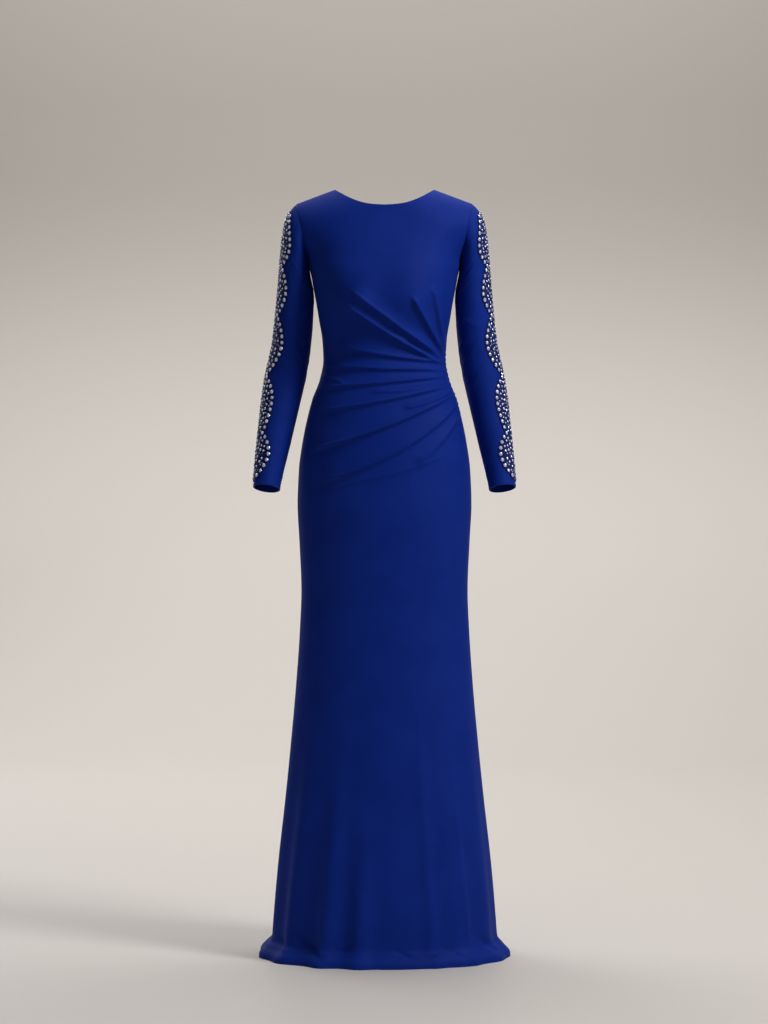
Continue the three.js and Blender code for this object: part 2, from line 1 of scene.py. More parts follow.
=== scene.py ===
# %% [markdown]
# # A ruched evening gown with beaded sleeves
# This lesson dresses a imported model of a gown. The model gives the true form of every cut
# piece, and it is the frame: nothing in it is moved or resized. Each step below takes one
# piece or one finish, says what it is on the real gown, and builds it on that form with
# finer folds, edges, sewing and stones. Lengths are in millimetres until a mesh is made,
# because that is how a pattern cutter thinks, and Blender's own unit here is the metre.

# %% Load the frame
import math

import bpy
import numpy as np
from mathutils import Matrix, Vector


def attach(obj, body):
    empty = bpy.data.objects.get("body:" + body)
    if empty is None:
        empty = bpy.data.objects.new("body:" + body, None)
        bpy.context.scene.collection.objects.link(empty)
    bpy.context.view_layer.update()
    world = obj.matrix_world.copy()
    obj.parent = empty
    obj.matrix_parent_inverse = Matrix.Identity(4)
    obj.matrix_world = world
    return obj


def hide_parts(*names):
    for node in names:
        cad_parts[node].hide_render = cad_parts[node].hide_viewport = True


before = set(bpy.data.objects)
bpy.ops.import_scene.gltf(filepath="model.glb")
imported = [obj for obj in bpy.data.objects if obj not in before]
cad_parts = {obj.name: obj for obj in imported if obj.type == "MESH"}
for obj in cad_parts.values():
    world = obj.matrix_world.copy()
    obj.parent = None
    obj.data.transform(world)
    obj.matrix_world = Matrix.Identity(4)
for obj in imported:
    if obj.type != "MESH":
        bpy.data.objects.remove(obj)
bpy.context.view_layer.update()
MM = 0.001

# %% [markdown]
# ## The camera
# The gown was photographed level, from about waist height and from far away, so the sides
# of the skirt look nearly parallel. A long lens six metres off gives the same drawing. The
# camera comes first because every later choice of detail is judged through it.

# %% Place the camera
CAMERA_X = -0.001
CAMERA_DISTANCE = 6.0
CAMERA_HEIGHT = -0.631
FRAME_HEIGHT = 2.007
SENSOR = 36.0
lens_camera = bpy.data.cameras.new("camera")
lens_camera.sensor_width = SENSOR
lens_camera.lens = SENSOR * CAMERA_DISTANCE / FRAME_HEIGHT
camera = bpy.data.objects.new("camera", lens_camera)
camera.location = (CAMERA_X, -CAMERA_DISTANCE, CAMERA_HEIGHT)
camera.rotation_euler = (math.radians(90), 0, 0)
bpy.context.scene.collection.objects.link(camera)
bpy.context.scene.camera = camera
print("lens in millimetres:", round(lens_camera.lens, 1))

# %% [markdown]
# ## Curves through a table
# A cutter describes a body with a few level measurements. To get a smooth form, a curve
# has to pass through them without bulging between two rows. A cubic with limited slopes
# does that: where the numbers rise and then fall, the curve is flat at the top.

# %% Smooth curve through the rows of a table
def smooth_table(places, values, at):
    order = np.argsort(places)
    x, y = np.asarray(places, float)[order], np.asarray(values, float)[order]
    slope = np.diff(y) / np.diff(x)
    before, after = np.r_[slope[0], slope], np.r_[slope, slope[-1]]
    same_way = before * after > 0
    tangent = np.where(same_way, 2 * before * after / np.where(same_way, before + after, 1), 0)
    i = np.clip(np.searchsorted(x, at) - 1, 0, len(x) - 2)
    span = x[i + 1] - x[i]
    t = np.clip((at - x[i]) / span, 0, 1)
    return ((2 * t ** 3 - 3 * t ** 2 + 1) * y[i] + (t ** 3 - 2 * t ** 2 + t) * span * tangent[i]
            + (3 * t ** 2 - 2 * t ** 3) * y[i + 1] + (t ** 3 - t ** 2) * span * tangent[i + 1])


def smoothstep(low, high, value):
    t = np.clip((value - low) / (high - low), 0, 1)
    return t * t * (3 - 2 * t)


def unit(vectors):
    return vectors / np.maximum(np.linalg.norm(vectors, axis=-1, keepdims=True), 1e-9)


print("a curve through 0, 4, 1 at the middle:", smooth_table([0, 1, 2], [0, 4, 1], 1.0))

# %% [markdown]
# ## The measurements of the gown
# These are the level sections of the gown from the shoulder to the floor: half its width,
# its depth in front of the side seam and behind it, and how square the section is. A
# power of 2 is an ellipse and a larger one is boxier, as a rib cage is. They are the same
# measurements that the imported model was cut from, so the finer cloth lies on it exactly.

# %% Sections, shoulder line and armhole
FLOOR_Z = -1497.0
NECK_POINT_X = 98.0
SHOULDER_X, SHOULDER_Z = 173.0, -28.0
ARMPIT_X, ARMPIT_Z = 148.0, -141.0
NECK_DROP = {"front": 36.0, "back": 22.0}
NECK_CURVE = 2.2
ROLL_HEIGHT, ROLL_POWER = 75.0, 2.2
ARMHOLE_FLARE, ARMHOLE_RISE, ARMHOLE_ONSET = 30.0, 55.0, 2.0
SEAM_GAP = 0.3

SECTION_COLUMNS = ("z", "half", "front", "back", "power")
SECTIONS = np.array([
    (0, 148, 62, 52, 2.3), (-36, 148, 72, 64, 2.3), (-100, 148, 93, 92, 2.3),
    (-141, 148, 106, 100, 2.3), (-176, 140, 115, 101, 2.3), (-216, 133, 119, 97, 2.25),
    (-255, 128, 112, 88, 2.2), (-294, 122, 101, 78, 2.15), (-333, 120, 95, 74, 2.1),
    (-372, 127, 99, 83, 2.1), (-412, 142, 107, 99, 2.1), (-451, 152, 113, 113, 2.1),
    (-490, 160, 116, 123, 2.1), (-549, 168, 118, 130, 2.1), (-617, 170.5, 118, 127, 2.1),
    (-686, 167, 114, 118, 2.1), (-784, 163, 112, 114, 2.1), (-862, 166, 115, 119, 2.1),
    (-960, 172.5, 123, 130, 2.1), (-1078, 182, 138, 147, 2.1), (-1196, 192, 154, 166, 2.1),
    (-1313, 203, 171, 185, 2.1), (-1431, 212, 187, 203, 2.1), (-1452, 213.5, 189, 205, 2.1),
    (-1464, 216.5, 191, 207, 2.1), (-1473, 227, 197, 213, 2.1), (-1482, 236, 204, 221, 2.1),
    (-1490, 239.5, 207, 225, 2.1), (FLOOR_Z, 240, 208, 226, 2.1),
])


def section(column, z):
    return smooth_table(SECTIONS[:, 0], SECTIONS[:, SECTION_COLUMNS.index(column)], z)


def armhole_x(z):
    return ARMPIT_X + (SHOULDER_X - ARMPIT_X) * (z - ARMPIT_Z) / (SHOULDER_Z - ARMPIT_Z)


def half_width(z):
    rise = (np.maximum(z - ARMPIT_Z, 0) / ARMHOLE_RISE) ** ARMHOLE_ONSET
    return np.where(z <= ARMPIT_Z, section("half", z),
                    armhole_x(z) + ARMHOLE_FLARE * (1 - np.exp(-rise)))


def shoulder_z(x):
    return SHOULDER_Z * (np.abs(x) - NECK_POINT_X) / (SHOULDER_X - NECK_POINT_X)


def top_edge_z(x, drop):
    r = np.minimum(np.abs(x) / NECK_POINT_X, 1)
    return np.where(np.abs(x) >= NECK_POINT_X, shoulder_z(x), -drop * (1 - r ** NECK_CURVE))


def depth_at(x, z, a, side):
    power = section("power", z)
    arc = np.maximum(0, 1 - (np.abs(x) / a) ** power) ** (1 / power)
    below = np.clip((shoulder_z(x) - z) / ROLL_HEIGHT, 0, 1)
    roll = (1 - (1 - below) ** ROLL_POWER) ** (1 / ROLL_POWER)
    return section(side, z) * arc * roll


print("waist measures", round(float(2 * section("half", -333.0)), 1), "mm across")

# %% [markdown]
# ## One body panel as a grid
# A panel is a grid of points: columns run from seam to seam and rows from the top edge to
# the hem. Below the armpit a row is level. Above it a row is a share of the way up to the
# neckline and the shoulder seam, so that the cloth rolls over the shoulder and its last
# column follows the armhole. The front and both backs come from this one function.

# %% Body surface for any panel
# Share of a panel's columns that the neckline takes, from the middle outwards
NECK_SHARE = {"front": 9 / 14, "back": 6 / 10}


def body_surface(u, edge_z, up, side):
    u, edge_z, up = u[None, :], edge_z[:, None], up[:, None]
    a = half_width(edge_z)
    power = section("power", edge_z)
    share = np.where(up > 0, armhole_x(edge_z) / a, 1.0)
    angle = np.arcsin(np.clip(share, 0, 1) ** (power / 2))
    by_section = np.sin(np.abs(u) * angle) ** (2 / power) / share
    inside = NECK_POINT_X / SHOULDER_X
    neck_u = NECK_SHARE[side]
    by_neck = np.where(np.abs(u) <= neck_u, inside * np.abs(u) / neck_u,
                       inside + (1 - inside) * (np.abs(u) - neck_u) / (1 - neck_u))
    x = np.sign(u) * (by_section + (by_neck - by_section) * up ** 2) * share * a
    top = top_edge_z(by_neck * SHOULDER_X, NECK_DROP[side])
    z = np.where(up > 0, ARMPIT_Z + (top - ARMPIT_Z) * up, edge_z)
    y = depth_at(x, z, a, side) * (-1 if side == "front" else 1)
    return np.stack(np.broadcast_arrays(x, y, z), axis=-1)


def grid_normals(points):
    down, across = np.empty_like(points), np.empty_like(points)
    down[1:-1] = points[:-2] - points[2:]
    down[0], down[-1] = points[0] - points[1], points[-2] - points[-1]
    across[:, 1:-1] = points[:, 2:] - points[:, :-2]
    across[:, 0], across[:, -1] = points[:, 1] - points[:, 0], points[:, -1] - points[:, -2]
    return unit(np.cross(across, down))


# Rows between the shoulder and the armpit
UPPER_COUNT = 34
upper_share = (1 + np.cos(np.pi * np.arange(UPPER_COUNT) / UPPER_COUNT)) / 2


def row_heights(levels):
    """Rows of a panel: shares above the armpit, then the given level heights."""
    edge_z = np.r_[ARMPIT_Z + (SHOULDER_Z - ARMPIT_Z) * upper_share, levels]
    return edge_z, np.r_[upper_share, np.zeros(len(levels))]


def levels(*spans):
    """Level heights: each span is its start, its end and the step between rows."""
    parts = [np.arange(start, end, -step) for start, end, step in spans]
    return np.concatenate([*parts, [FLOOR_Z]])


# Columns: height where a span starts, height where it ends, step between its rows
FRONT_SPANS = [(ARMPIT_Z, -190, 4), (-190, -600, 2.0), (-600, -1440, 12), (-1440, -1496, 2.5)]
BACK_SPANS = [(ARMPIT_Z, -600, 5), (-600, -1440, 12), (-1440, -1496, 2.5)]
FRONT_LEVELS, BACK_LEVELS = levels(*FRONT_SPANS), levels(*BACK_SPANS)
print("rows in the front:", UPPER_COUNT + len(FRONT_LEVELS))
print("rows in each back:", UPPER_COUNT + len(BACK_LEVELS))

# %% [markdown]
# ## Ruched folds
# On the real gown extra cloth is gathered into the left side seam, and the folds fan out
# from there over the bust, the waist and the hip. Each fold is a curve from its gather to
# its free end. Seen across, it isn't a round ridge: it swells slowly above, has a narrow
# crest, and drops steeply below, because the cloth above it hangs over. On a stretched
# cloth a crest is a few millimetres wide however big its fold is, so its width is one
# number for all. The back isn't gathered, and has only soft creases at its waist and
# arms. A cloth simulation would put the folds where it likes; a table puts them where the
# gown has them.

# %% Table of folds and their height
# Columns: gather x, z; bend x, z; free end x, z; width above the crest; width below; height
FOLDS = {
    "bust_low": (104, -342, 8, -291, -86, -222, 15, 5.0, 9.5),
    "bust_high": (108, -330, 24, -270, -70, -200, 13, 5.5, 9.5),
    "bust_short": (106, -334, 76, -312, 44, -286, 7, 3.5, 3.6),
    "side_bust": (113, -324, 84, -274, 50, -212, 10, 4.5, 8.0),
    "side_high": (116, -316, 104, -260, 92, -192, 8, 4.5, 5.8),
    "waist_top": (117, -340, 8, -336, -104, -303, 13, 3.6, 6.0),
    "waist_second": (118, -355, 0, -360, -118, -345, 12, 3.6, 6.0),
    "waist_pinch": (-76, -384, -96, -372, -122, -364, 7, 3.2, 2.6),
    "waist_third": (121, -367, 4, -386, -134, -390, 14, 3.6, 6.4),
    "waist_short": (122, -378, 52, -404, -34, -398, 9, 3.6, 3.6),
    "hip_first": (126, -385, 0, -424, -144, -437, 19, 4.0, 6.6),
    "hip_short": (130, -395, 88, -424, 34, -432, 9, 4.0, 5.2),
    "hip_second": (133, -403, 10, -478, -156, -514, 24, 4.6, 8.4),
    "hip_long": (140, -421, 50, -530, -136, -576, 26, 5.4, 8.2),
    "hip_side": (144, -437, 122, -492, 56, -544, 15, 5.5, 6.4),
    "hip_faint": (120, -520, 20, -566, -136, -584, 30, 7.0, 2.8),
}
# The same columns, for the soft creases of the back
BACK_FOLDS = {
    "small_upper": (114, -322, 30, -350, -98, -334, 10, 7, 3.6),
    "small_middle": (-116, -346, -20, -372, 106, -356, 11, 7, 4.2),
    "small_lower": (122, -376, 30, -396, -66, -388, 10, 7, 3.4),
    "underarm_left": (124, -196, 92, -232, 46, -254, 11, 8, 3.6),
    "underarm_right": (-124, -200, -92, -238, -40, -262, 11, 8, 3.6),
    "hip_left": (144, -432, 118, -474, 78, -506, 14, 9, 3.4),
    "hip_right": (-143, -452, -114, -484, -82, -502, 14, 9, 2.8),
}
FOLD_POINTS = 220
CREST_SHARE, CREST_WIDTH = 0.42, 3.2
# A fold is narrowest at its gather, and widens along its length
GATHER_WIDTH, WIDENING = 0.62, 0.6
# Shares of its length over which a fold rises at the gather and dies out at its end
FOLD_RISE, FOLD_FADE = (-0.05, 0.2), (0.84, 1)
# Farther than any two points of the gown
FAR = 1e9


def fold_height(x, z, gx, gz, bx, bz, fx, fz, above, below, height):
    best = np.full(x.shape, FAR)
    along = np.zeros(x.shape)
    over = np.zeros(x.shape)
    for t in np.linspace(0, 1, FOLD_POINTS):
        px = (1 - t) ** 2 * gx + 2 * t * (1 - t) * bx + t * t * fx
        pz = (1 - t) ** 2 * gz + 2 * t * (1 - t) * bz + t * t * fz
        d = np.hypot(x - px, z - pz)
        nearer = d < best
        best, along = np.where(nearer, d, best), np.where(nearer, t, along)
        over = np.where(nearer, z - pz, over)
    width = (GATHER_WIDTH + WIDENING * along) * np.where(over < 0, below, above)
    fade = smoothstep(*FOLD_RISE, along) * (1 - smoothstep(*FOLD_FADE, along))
    round_part = np.exp(-((best / width) ** 2))
    crest = np.exp(-((best / CREST_WIDTH) ** 2))
    return height * fade * ((1 - CREST_SHARE) * round_part + CREST_SHARE * crest)


def fold_relief(x, z, folds):
    return sum(fold_height(x, z, *row) for row in folds.values())


print("folds:", len(FOLDS), "and the deepest is", max(row[-1] for row in FOLDS.values()), "mm high")
print("creases in the back:", len(BACK_FOLDS))

# %% [markdown]
# ## Puckers at the gathered seam
# Where the extra cloth is drawn into the side seam, the stitches pinch it into short
# puckers a finger's width long. They are too small to be in the model, and without them
# the folds would seem to end on a plain seam.

# %% Puckers along the gathered part of the left side seam
PUCKER_TOP, PUCKER_BOTTOM = -300, -450
PUCKER_TOP_FADE, PUCKER_BOTTOM_FADE, PUCKER_START = 30, 40, 5
PUCKER_SPACING, PUCKER_HEIGHT, PUCKER_REACH, PUCKER_SLANT = 9.5, 0.9, 15.0, 0.35


def pucker_relief(to_seam, z):
    wave = np.sin(2 * np.pi * (z + PUCKER_SLANT * to_seam) / PUCKER_SPACING)
    window = smoothstep(PUCKER_BOTTOM, PUCKER_BOTTOM + PUCKER_BOTTOM_FADE, z)
    window = window * (1 - smoothstep(PUCKER_TOP - PUCKER_TOP_FADE, PUCKER_TOP, z))
    die_out = np.exp(-to_seam / PUCKER_REACH)
    return PUCKER_HEIGHT * wave * window * die_out * smoothstep(0, PUCKER_START, to_seam)


print("puckers:", round((PUCKER_TOP - PUCKER_BOTTOM) / PUCKER_SPACING))

# %% [markdown]
# ## Drape of the skirt
# The skirt hangs from the hip in long soft folds that only open out near the floor. Where
# the extra length reaches the floor, it breaks outwards in a low roll. The folds are soft
# ridges placed by their angle round the gown, each with its own height and its own start,
# and a few shallow creases show where the roll buckles.

# %% Skirt folds, bust and hem creases
# Columns: angle round the gown, spread, height at the hem, height where it begins
DRAPES = [
    (-78, 9, 9, -860), (-57, 7, 12, -940), (-33, 6, 15, -1060), (-14, 6, 11, -1180),
    (6, 14, 4, -1150), (27, 4, 6, -900), (44, 9, 9, -980), (49, 2.6, 3, -860), (66, 8, 9, -900),
    (84, 9, 7, -950), (108, 8, 8, -1000), (129, 9, 12, -860), (150, 8, 9, -960),
    (168, 7, 12, -840), (191, 8, 12, -900), (213, 9, 9, -980), (236, 9, 12, -860),
    (259, 8, 8, -1000),
]
# Columns: angle round the gown, height of its middle, length down, width round, depth, slant
HEM_CREASES = [
    (-62, -1472, 15, 3.0, 4.5, 0.3), (-42, -1464, 20, 3.4, 7.0, 0.45),
    (-24, -1468, 15, 2.4, 5.0, -0.35), (5, -1482, 9, 1.9, 2.6, -0.5),
    (12, -1474, 9, 2.4, 3.4, 0.5), (27, -1479, 8, 2.4, 5.5, -0.5),
    (39, -1474, 13, 2.4, 3.0, 0.3), (64, -1466, 15, 3.2, 5.5, 0.25),
    (101, -1476, 14, 2.6, 3.0, 0.2), (131, -1472, 16, 2.8, 3.4, 0.3),
    (160, -1478, 12, 2.2, 2.6, -0.2), (187, -1472, 15, 2.6, 3.2, 0.2),
    (214, -1476, 14, 2.4, 3.0, -0.3), (246, -1472, 16, 2.6, 3.2, 0.3),
]
# Under the arms the cloth is pushed out: height of the middle, half length, spread, height
UNDERARM = (-192.0, 45.0, 26.0, 2.5)
# A skirt fold has its full height this far above the floor
DRAPE_FULL = 60
# Height of its middle, half width and depth of the groove above the rolled edge
ROLL_GROOVE_Z, ROLL_GROOVE_WIDTH, ROLL_GROOVE_DEPTH = -1478.0, 6.0, 2.6
# The groove is deeper and shallower in turn: its even part, its change, and the turns of it
GROOVE_EVEN, GROOVE_CHANGE, GROOVE_TURNS = 0.7, 0.3, 5
BUST_X, BUST_Z, BUST_WIDTH, BUST_HEIGHT, BUST_DEPTH = 66.0, -212.0, 52.0, 62.0, 11.0


def turn_between(angle, middle):
    return (angle - middle + 180) % 360 - 180


def drape_relief(points):
    around = np.degrees(np.arctan2(points[..., 0], -points[..., 1]))
    z = points[..., 2]
    relief = np.zeros(z.shape)
    for middle, spread, height, begin in DRAPES:
        grown = 1 - smoothstep(FLOOR_Z + DRAPE_FULL, begin, z)
        relief += height * grown * np.exp(-((turn_between(around, middle) / spread) ** 2))
    for middle, height, length, width, depth, slant in HEM_CREASES:
        off = turn_between(around, middle) + slant * (z - height)
        relief -= depth * np.exp(-((off / width) ** 2) - ((z - height) / length) ** 2)
    middle, length, spread, height = UNDERARM
    off_side = np.abs(np.abs(turn_between(around, 0)) - 90)
    relief += height * np.exp(-(((z - middle) / length) ** 2) - (off_side / spread) ** 2)
    groove = np.exp(-(((z - ROLL_GROOVE_Z) / ROLL_GROOVE_WIDTH) ** 2))
    turns = GROOVE_EVEN + GROOVE_CHANGE * np.cos(np.radians(GROOVE_TURNS * around))
    return relief - ROLL_GROOVE_DEPTH * groove * turns


def bust_relief(x, z):
    across = sum(np.exp(-(((x - side) / BUST_WIDTH) ** 2)) for side in (-BUST_X, BUST_X))
    return BUST_DEPTH * across * np.exp(-(((z - BUST_Z) / BUST_HEIGHT) ** 2))


print("skirt folds:", len(DRAPES), "and hem creases:", len(HEM_CREASES))

# %% [markdown]
# ## From a grid to cloth
# A thin sheet in Blender could be one layer with a Solidify modifier. Here both faces are
# made outright, because then the turned hems can be thicker than the cloth and the seam
# edges can stay flat in the seam. The two grids are joined round the rim, so the piece is
# one closed shell and the inside of the gown shows as real cloth through the neck and hem.

# %% Closed shell from an outer and an inner grid
# Two faces that meet at a sharper turn than this, in degrees, keep a crisp edge between them
SHARP_TURN = 62


def add_mesh(name, points, faces):
    mesh = bpy.data.meshes.new(name)
    mesh.from_pydata((np.asarray(points) * MM).tolist(), [], faces)
    mesh.shade_smooth()
    mesh.set_sharp_from_angle(angle=math.radians(SHARP_TURN))
    piece = bpy.data.objects.new(name, mesh)
    bpy.context.scene.collection.objects.link(piece)
    return piece


def shell(name, outer, inner, closed=False):
    rows, columns = outer.shape[:2]
    number = np.arange(rows * columns).reshape(rows, columns)
    ring = np.c_[number, number[:, :1]] if closed else number
    back = rows * columns

    def quads(a, b, c, d):
        return np.stack([a.ravel(), b.ravel(), c.ravel(), d.ravel()], axis=1)

    tl, tr, bl, br = ring[:-1, :-1], ring[:-1, 1:], ring[1:, :-1], ring[1:, 1:]
    faces = [quads(tl, bl, br, tr), quads(tl, tr, br, bl) + back]
    top, bottom = ring[0], ring[-1]
    faces.append(quads(top[:-1], top[1:], top[1:] + back, top[:-1] + back))
    faces.append(quads(bottom[:-1], bottom[:-1] + back, bottom[1:] + back, bottom[1:]))
    if not closed:
        left, right = number[:, 0], number[:, -1]
        faces.append(quads(left[:-1], left[:-1] + back, left[1:] + back, left[1:]))
        faces.append(quads(right[:-1], right[1:], right[1:] + back, right[:-1] + back))
    points = np.concatenate([outer.reshape(-1, 3), inner.reshape(-1, 3)])
    return add_mesh(name, points, np.concatenate(faces).tolist())


print("edges with a turn over", SHARP_TURN, "degrees stay crisp")

# %% [markdown]
# ## The front and the two backs
# The front is one draped panel from neck to hem. The back is cut in two for the zip. All
# three are thin crepe jersey with narrow turned hems at the neck and the floor, and each
# seam sinks a little, as sewn cloth does, with a hair's gap between the panels.

# %% Cloth, hems and seams
CLOTH = 1.0
TURNED_HEM = 0.9
SEAM_SINK, SEAM_WIDTH = 0.7, 3.5
# Folds die out this close to a side seam
FOLD_STOP = 9
# A turned hem ends in a short step: where the step starts and ends, from the edge
NECK_HEM, CUFF_HEM, FLOOR_HEM = (5, 8), (4, 7), (22.0, 25.0)
NECK_HEM_BOTTOM = -90
# How far inside the neck point the neck's hem stops, and where the shoulder seam starts
NECK_END, SHOULDER_START = 1, 0.5
ARMHOLE_OUTWARD = unit(np.array([SHOULDER_Z - ARMPIT_Z, 0, ARMPIT_X - SHOULDER_X]))


def is_side_seam(u):
    return abs(abs(u) - 1) < 1e-9


def distance_to_side(points, u):
    """Distance along each row to the nearest side seam, where u is -1 or 1."""
    step = np.linalg.norm(np.diff(points, axis=1), axis=-1)
    from_start = np.concatenate([np.zeros((len(points), 1)), np.cumsum(step, axis=1)], axis=1)
    from_end = from_start[:, -1:] - from_start
    far = np.full_like(from_start, FAR)
    at_start = from_start if is_side_seam(u[0]) else far
    at_end = from_end if is_side_seam(u[-1]) else far
    return np.minimum(at_start, at_end)


def seam_relief(distance):
    return -SEAM_SINK * np.exp(-((distance / SEAM_WIDTH) ** 2))


def keep_in_seams(grid, u, upper, side):
    """Edges stay in the plane of their seam, so that two panels never cross."""
    way = -1 if side == "front" else 1
    grid[-1, :, 2] = FLOOR_Z
    for c in (0, -1):
        if is_side_seam(u[c]):
            hand = np.sign(u[c])
            outward = ARMHOLE_OUTWARD * (hand, 1, 1)
            rim = grid[upper, c]
            beyond = (rim - (ARMPIT_X * hand, 0, ARMPIT_Z)) @ outward + SEAM_GAP / 2
            grid[upper, c] = rim - beyond[:, None] * outward
            grid[upper, c, 1] = way * np.maximum(way * grid[upper, c, 1], SEAM_GAP / 2)
            grid[~upper, c, 1] = way * SEAM_GAP / 2
        elif side == "back":
            grid[:, c, 0] = np.sign(u.sum()) * SEAM_GAP / 2
    on_shoulder = np.abs(grid[0, :, 0]) >= NECK_POINT_X - SHOULDER_START
    grid[0, on_shoulder, 1] = way * SEAM_GAP / 2


print("cloth", CLOTH, "mm thick, with", FLOOR_HEM[0], "mm turned up at the floor")

# %% Cut and drape the body panels
# A high power keeps the bust full across the panel and lets it die out at the side seams
BUST_POWER = 4
FRONT_COLUMNS, BACK_COLUMNS = 138, 60


def body_panel(name, side, start, end, columns, heights):
    u = np.linspace(start, end, columns + 1)
    edge_z, up = row_heights(heights)
    if side == "back":
        u = u[::-1]
    bare = body_surface(u, edge_z, up, side)
    normals = grid_normals(bare)
    x, z = bare[..., 0], bare[..., 2]
    to_side = distance_to_side(bare, u)
    relief = np.where((up == 0)[:, None], seam_relief(to_side), 0)
    outer = bare.copy()
    if side == "front":
        relief = relief + fold_relief(x, z, FOLDS) * smoothstep(0, FOLD_STOP, to_side)
        relief = relief + pucker_relief(np.where(x > 0, to_side, FAR), z)
        outer[..., 1] -= bust_relief(x, z) * (1 - np.abs(u)[None, :] ** BUST_POWER)
    else:
        relief = relief + seam_relief(np.abs(x))
        relief = relief + fold_relief(x, z, BACK_FOLDS) * smoothstep(0, FOLD_STOP, to_side)
    outer += normals * relief[..., None]
    outer += unit(bare * (1, 1, 0)) * drape_relief(bare)[..., None]
    normals = grid_normals(outer)
    from_top = np.linalg.norm(outer - outer[:1], axis=-1)
    at_neck = (np.abs(bare[:1, :, 0]) < NECK_POINT_X - NECK_END) & (z > NECK_HEM_BOTTOM)
    turned = TURNED_HEM * (1 - smoothstep(*NECK_HEM, from_top)) * at_neck
    turned = turned + TURNED_HEM * (1 - smoothstep(*FLOOR_HEM, z - FLOOR_Z))
    inner = outer - normals * (CLOTH + turned)[..., None]
    for grid in (outer, inner):
        keep_in_seams(grid, u, up > 0, side)
    return shell(name, outer, inner)


def as_cloth(panel, *nodes):
    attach(panel, "gown")
    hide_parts(*nodes)
    print(panel.name, "has", len(panel.data.polygons), "faces")


front = body_panel("front_panel", "front", -1, 1, FRONT_COLUMNS, FRONT_LEVELS)
back_left = body_panel("back_panel_left", "back", 0, 1, BACK_COLUMNS, BACK_LEVELS)
back_right = body_panel("back_panel_right", "back", -1, 0, BACK_COLUMNS, BACK_LEVELS)
as_cloth(front, "front")
as_cloth(back_left, "back_left")
as_cloth(back_right, "back_right")

# %% [markdown]
# ## The sleeves
# Each sleeve is a two-ended tube set into a sloping armhole. The stations below run from
# the armhole to the cuff and give the arm's outer and inner edge as seen from the front.
# The tube leaves the armhole as the armhole's own loop and turns gently into an oval. The
# arm hangs with a slight bend, so the cloth has small folds inside the elbow and below
# the armpit, and the cuff is a narrow rolled edge.

# %% Sleeve surface
# Columns: outer x, outer z, inner x, inner z, middle y, half depth, lean of the station
SLEEVE = np.array([
    (173, -28, 148, -141, 3, 54, 0), (185, -42, 147.6, -147, 4, 53, 0),
    (193.5, -62, 146.8, -155, 5, 51, 0), (199, -88, 145.6, -165, 7, 49, 0),
    (203, -125, 143.8, -178, 9, 48, 0), (206.5, -168, 142, -196, 11, 47, 0),
    (210.5, -216, 140.5, -222, 13, 46, 0), (214.5, -255, 140.8, -258, 15, 45, 0),
    (219, -296, 144, -300, 17, 44, 0.02), (227, -334, 149.5, -340, 18, 43, 0.06),
    (235, -372, 156.5, -378, 17, 42.5, 0.12), (240.5, -412, 165.5, -418, 11, 41, 0.18),
    (245.5, -462, 177, -468, 0, 38, 0.23), (250.5, -516, 189.5, -522, -13, 34, 0.25),
    (254, -560, 200, -566, -25, 31, 0.25), (256, -582, 204, -588, -31, 30, 0.25),
])
# The cap, where the armhole's loop turns into the arm's oval, ends at this station
CAP_STATION = 5
CAP_END = CAP_STATION / (len(SLEEVE) - 1)
STATION = np.linspace(0, 1, len(SLEEVE))
# Small steps along and round the sleeve, between which its slope is taken
STEP_ALONG, STEP_ROUND = 0.004, 0.02


def sleeve_surface(s, angle):
    """Points of the left sleeve: s from armhole to cuff, the angle from the outer edge."""
    s, angle = np.broadcast_arrays(np.asarray(s, float), np.asarray(angle, float))
    row = (smooth_table(STATION, column, s) for column in SLEEVE.T)
    out_x, out_z, in_x, in_z, mid_y, depth, lean = row
    share, around = (1 + np.cos(angle)) / 2, np.sin(angle)
    arm_y = mid_y - depth * around
    loop_z = ARMPIT_Z + (SHOULDER_Z - ARMPIT_Z) * share
    loop_a = half_width(loop_z)
    loop_y = np.where(around >= 0, -depth_at(armhole_x(loop_z), loop_z, loop_a, "front"),
                      depth_at(armhole_x(loop_z), loop_z, loop_a, "back"))
    y = arm_y + (loop_y - arm_y) * (1 - smoothstep(0, CAP_END, s))
    z = in_z + (out_z - in_z) * share - lean * (y - mid_y)
    return np.stack([in_x + (out_x - in_x) * share, y, z], axis=-1)


def sleeve_normals(s, angle):
    above = sleeve_surface(np.maximum(s - STEP_ALONG, 0), angle)
    below = sleeve_surface(np.minimum(s + STEP_ALONG, 1), angle)
    around = sleeve_surface(s, angle + STEP_ROUND) - sleeve_surface(s, angle - STEP_ROUND)
    return unit(np.cross(around, below - above))


cuff_width = np.linalg.norm(sleeve_surface(1, 0) - sleeve_surface(1, np.pi))
print("the cuff is", round(float(cuff_width), 1), "mm wide")

# %% Creases of the sleeve and its shell
# Columns: place along the sleeve, angle round it in degrees, slant, width along, reach
# round in degrees, height
SLEEVE_CREASES = [
    (0.30, 120, 0.05, 0.010, 46, 1.6), (0.345, 135, 0.04, 0.009, 40, 1.4),
    (0.47, 118, -0.02, 0.010, 44, 1.3), (0.53, 132, 0.03, 0.009, 42, 1.8),
    (0.575, 120, 0.05, 0.008, 46, 1.9), (0.615, 135, 0.03, 0.009, 40, 1.5),
    (0.66, 112, 0.05, 0.010, 38, 1.1), (0.38, 230, 0.05, 0.011, 46, 1.3),
    (0.56, 225, -0.04, 0.010, 50, 1.5), (0.60, 240, -0.05, 0.009, 44, 1.3),
    (0.80, 140, 0.03, 0.010, 40, 0.8), (0.90, 150, 0.04, 0.009, 50, 0.9),
    (0.355, 180, 0.0, 0.085, 50, 2.5),
]
SLEEVE_ROWS, SLEEVE_COLUMNS = 200, 96
CUFF_ROLL = 0.9
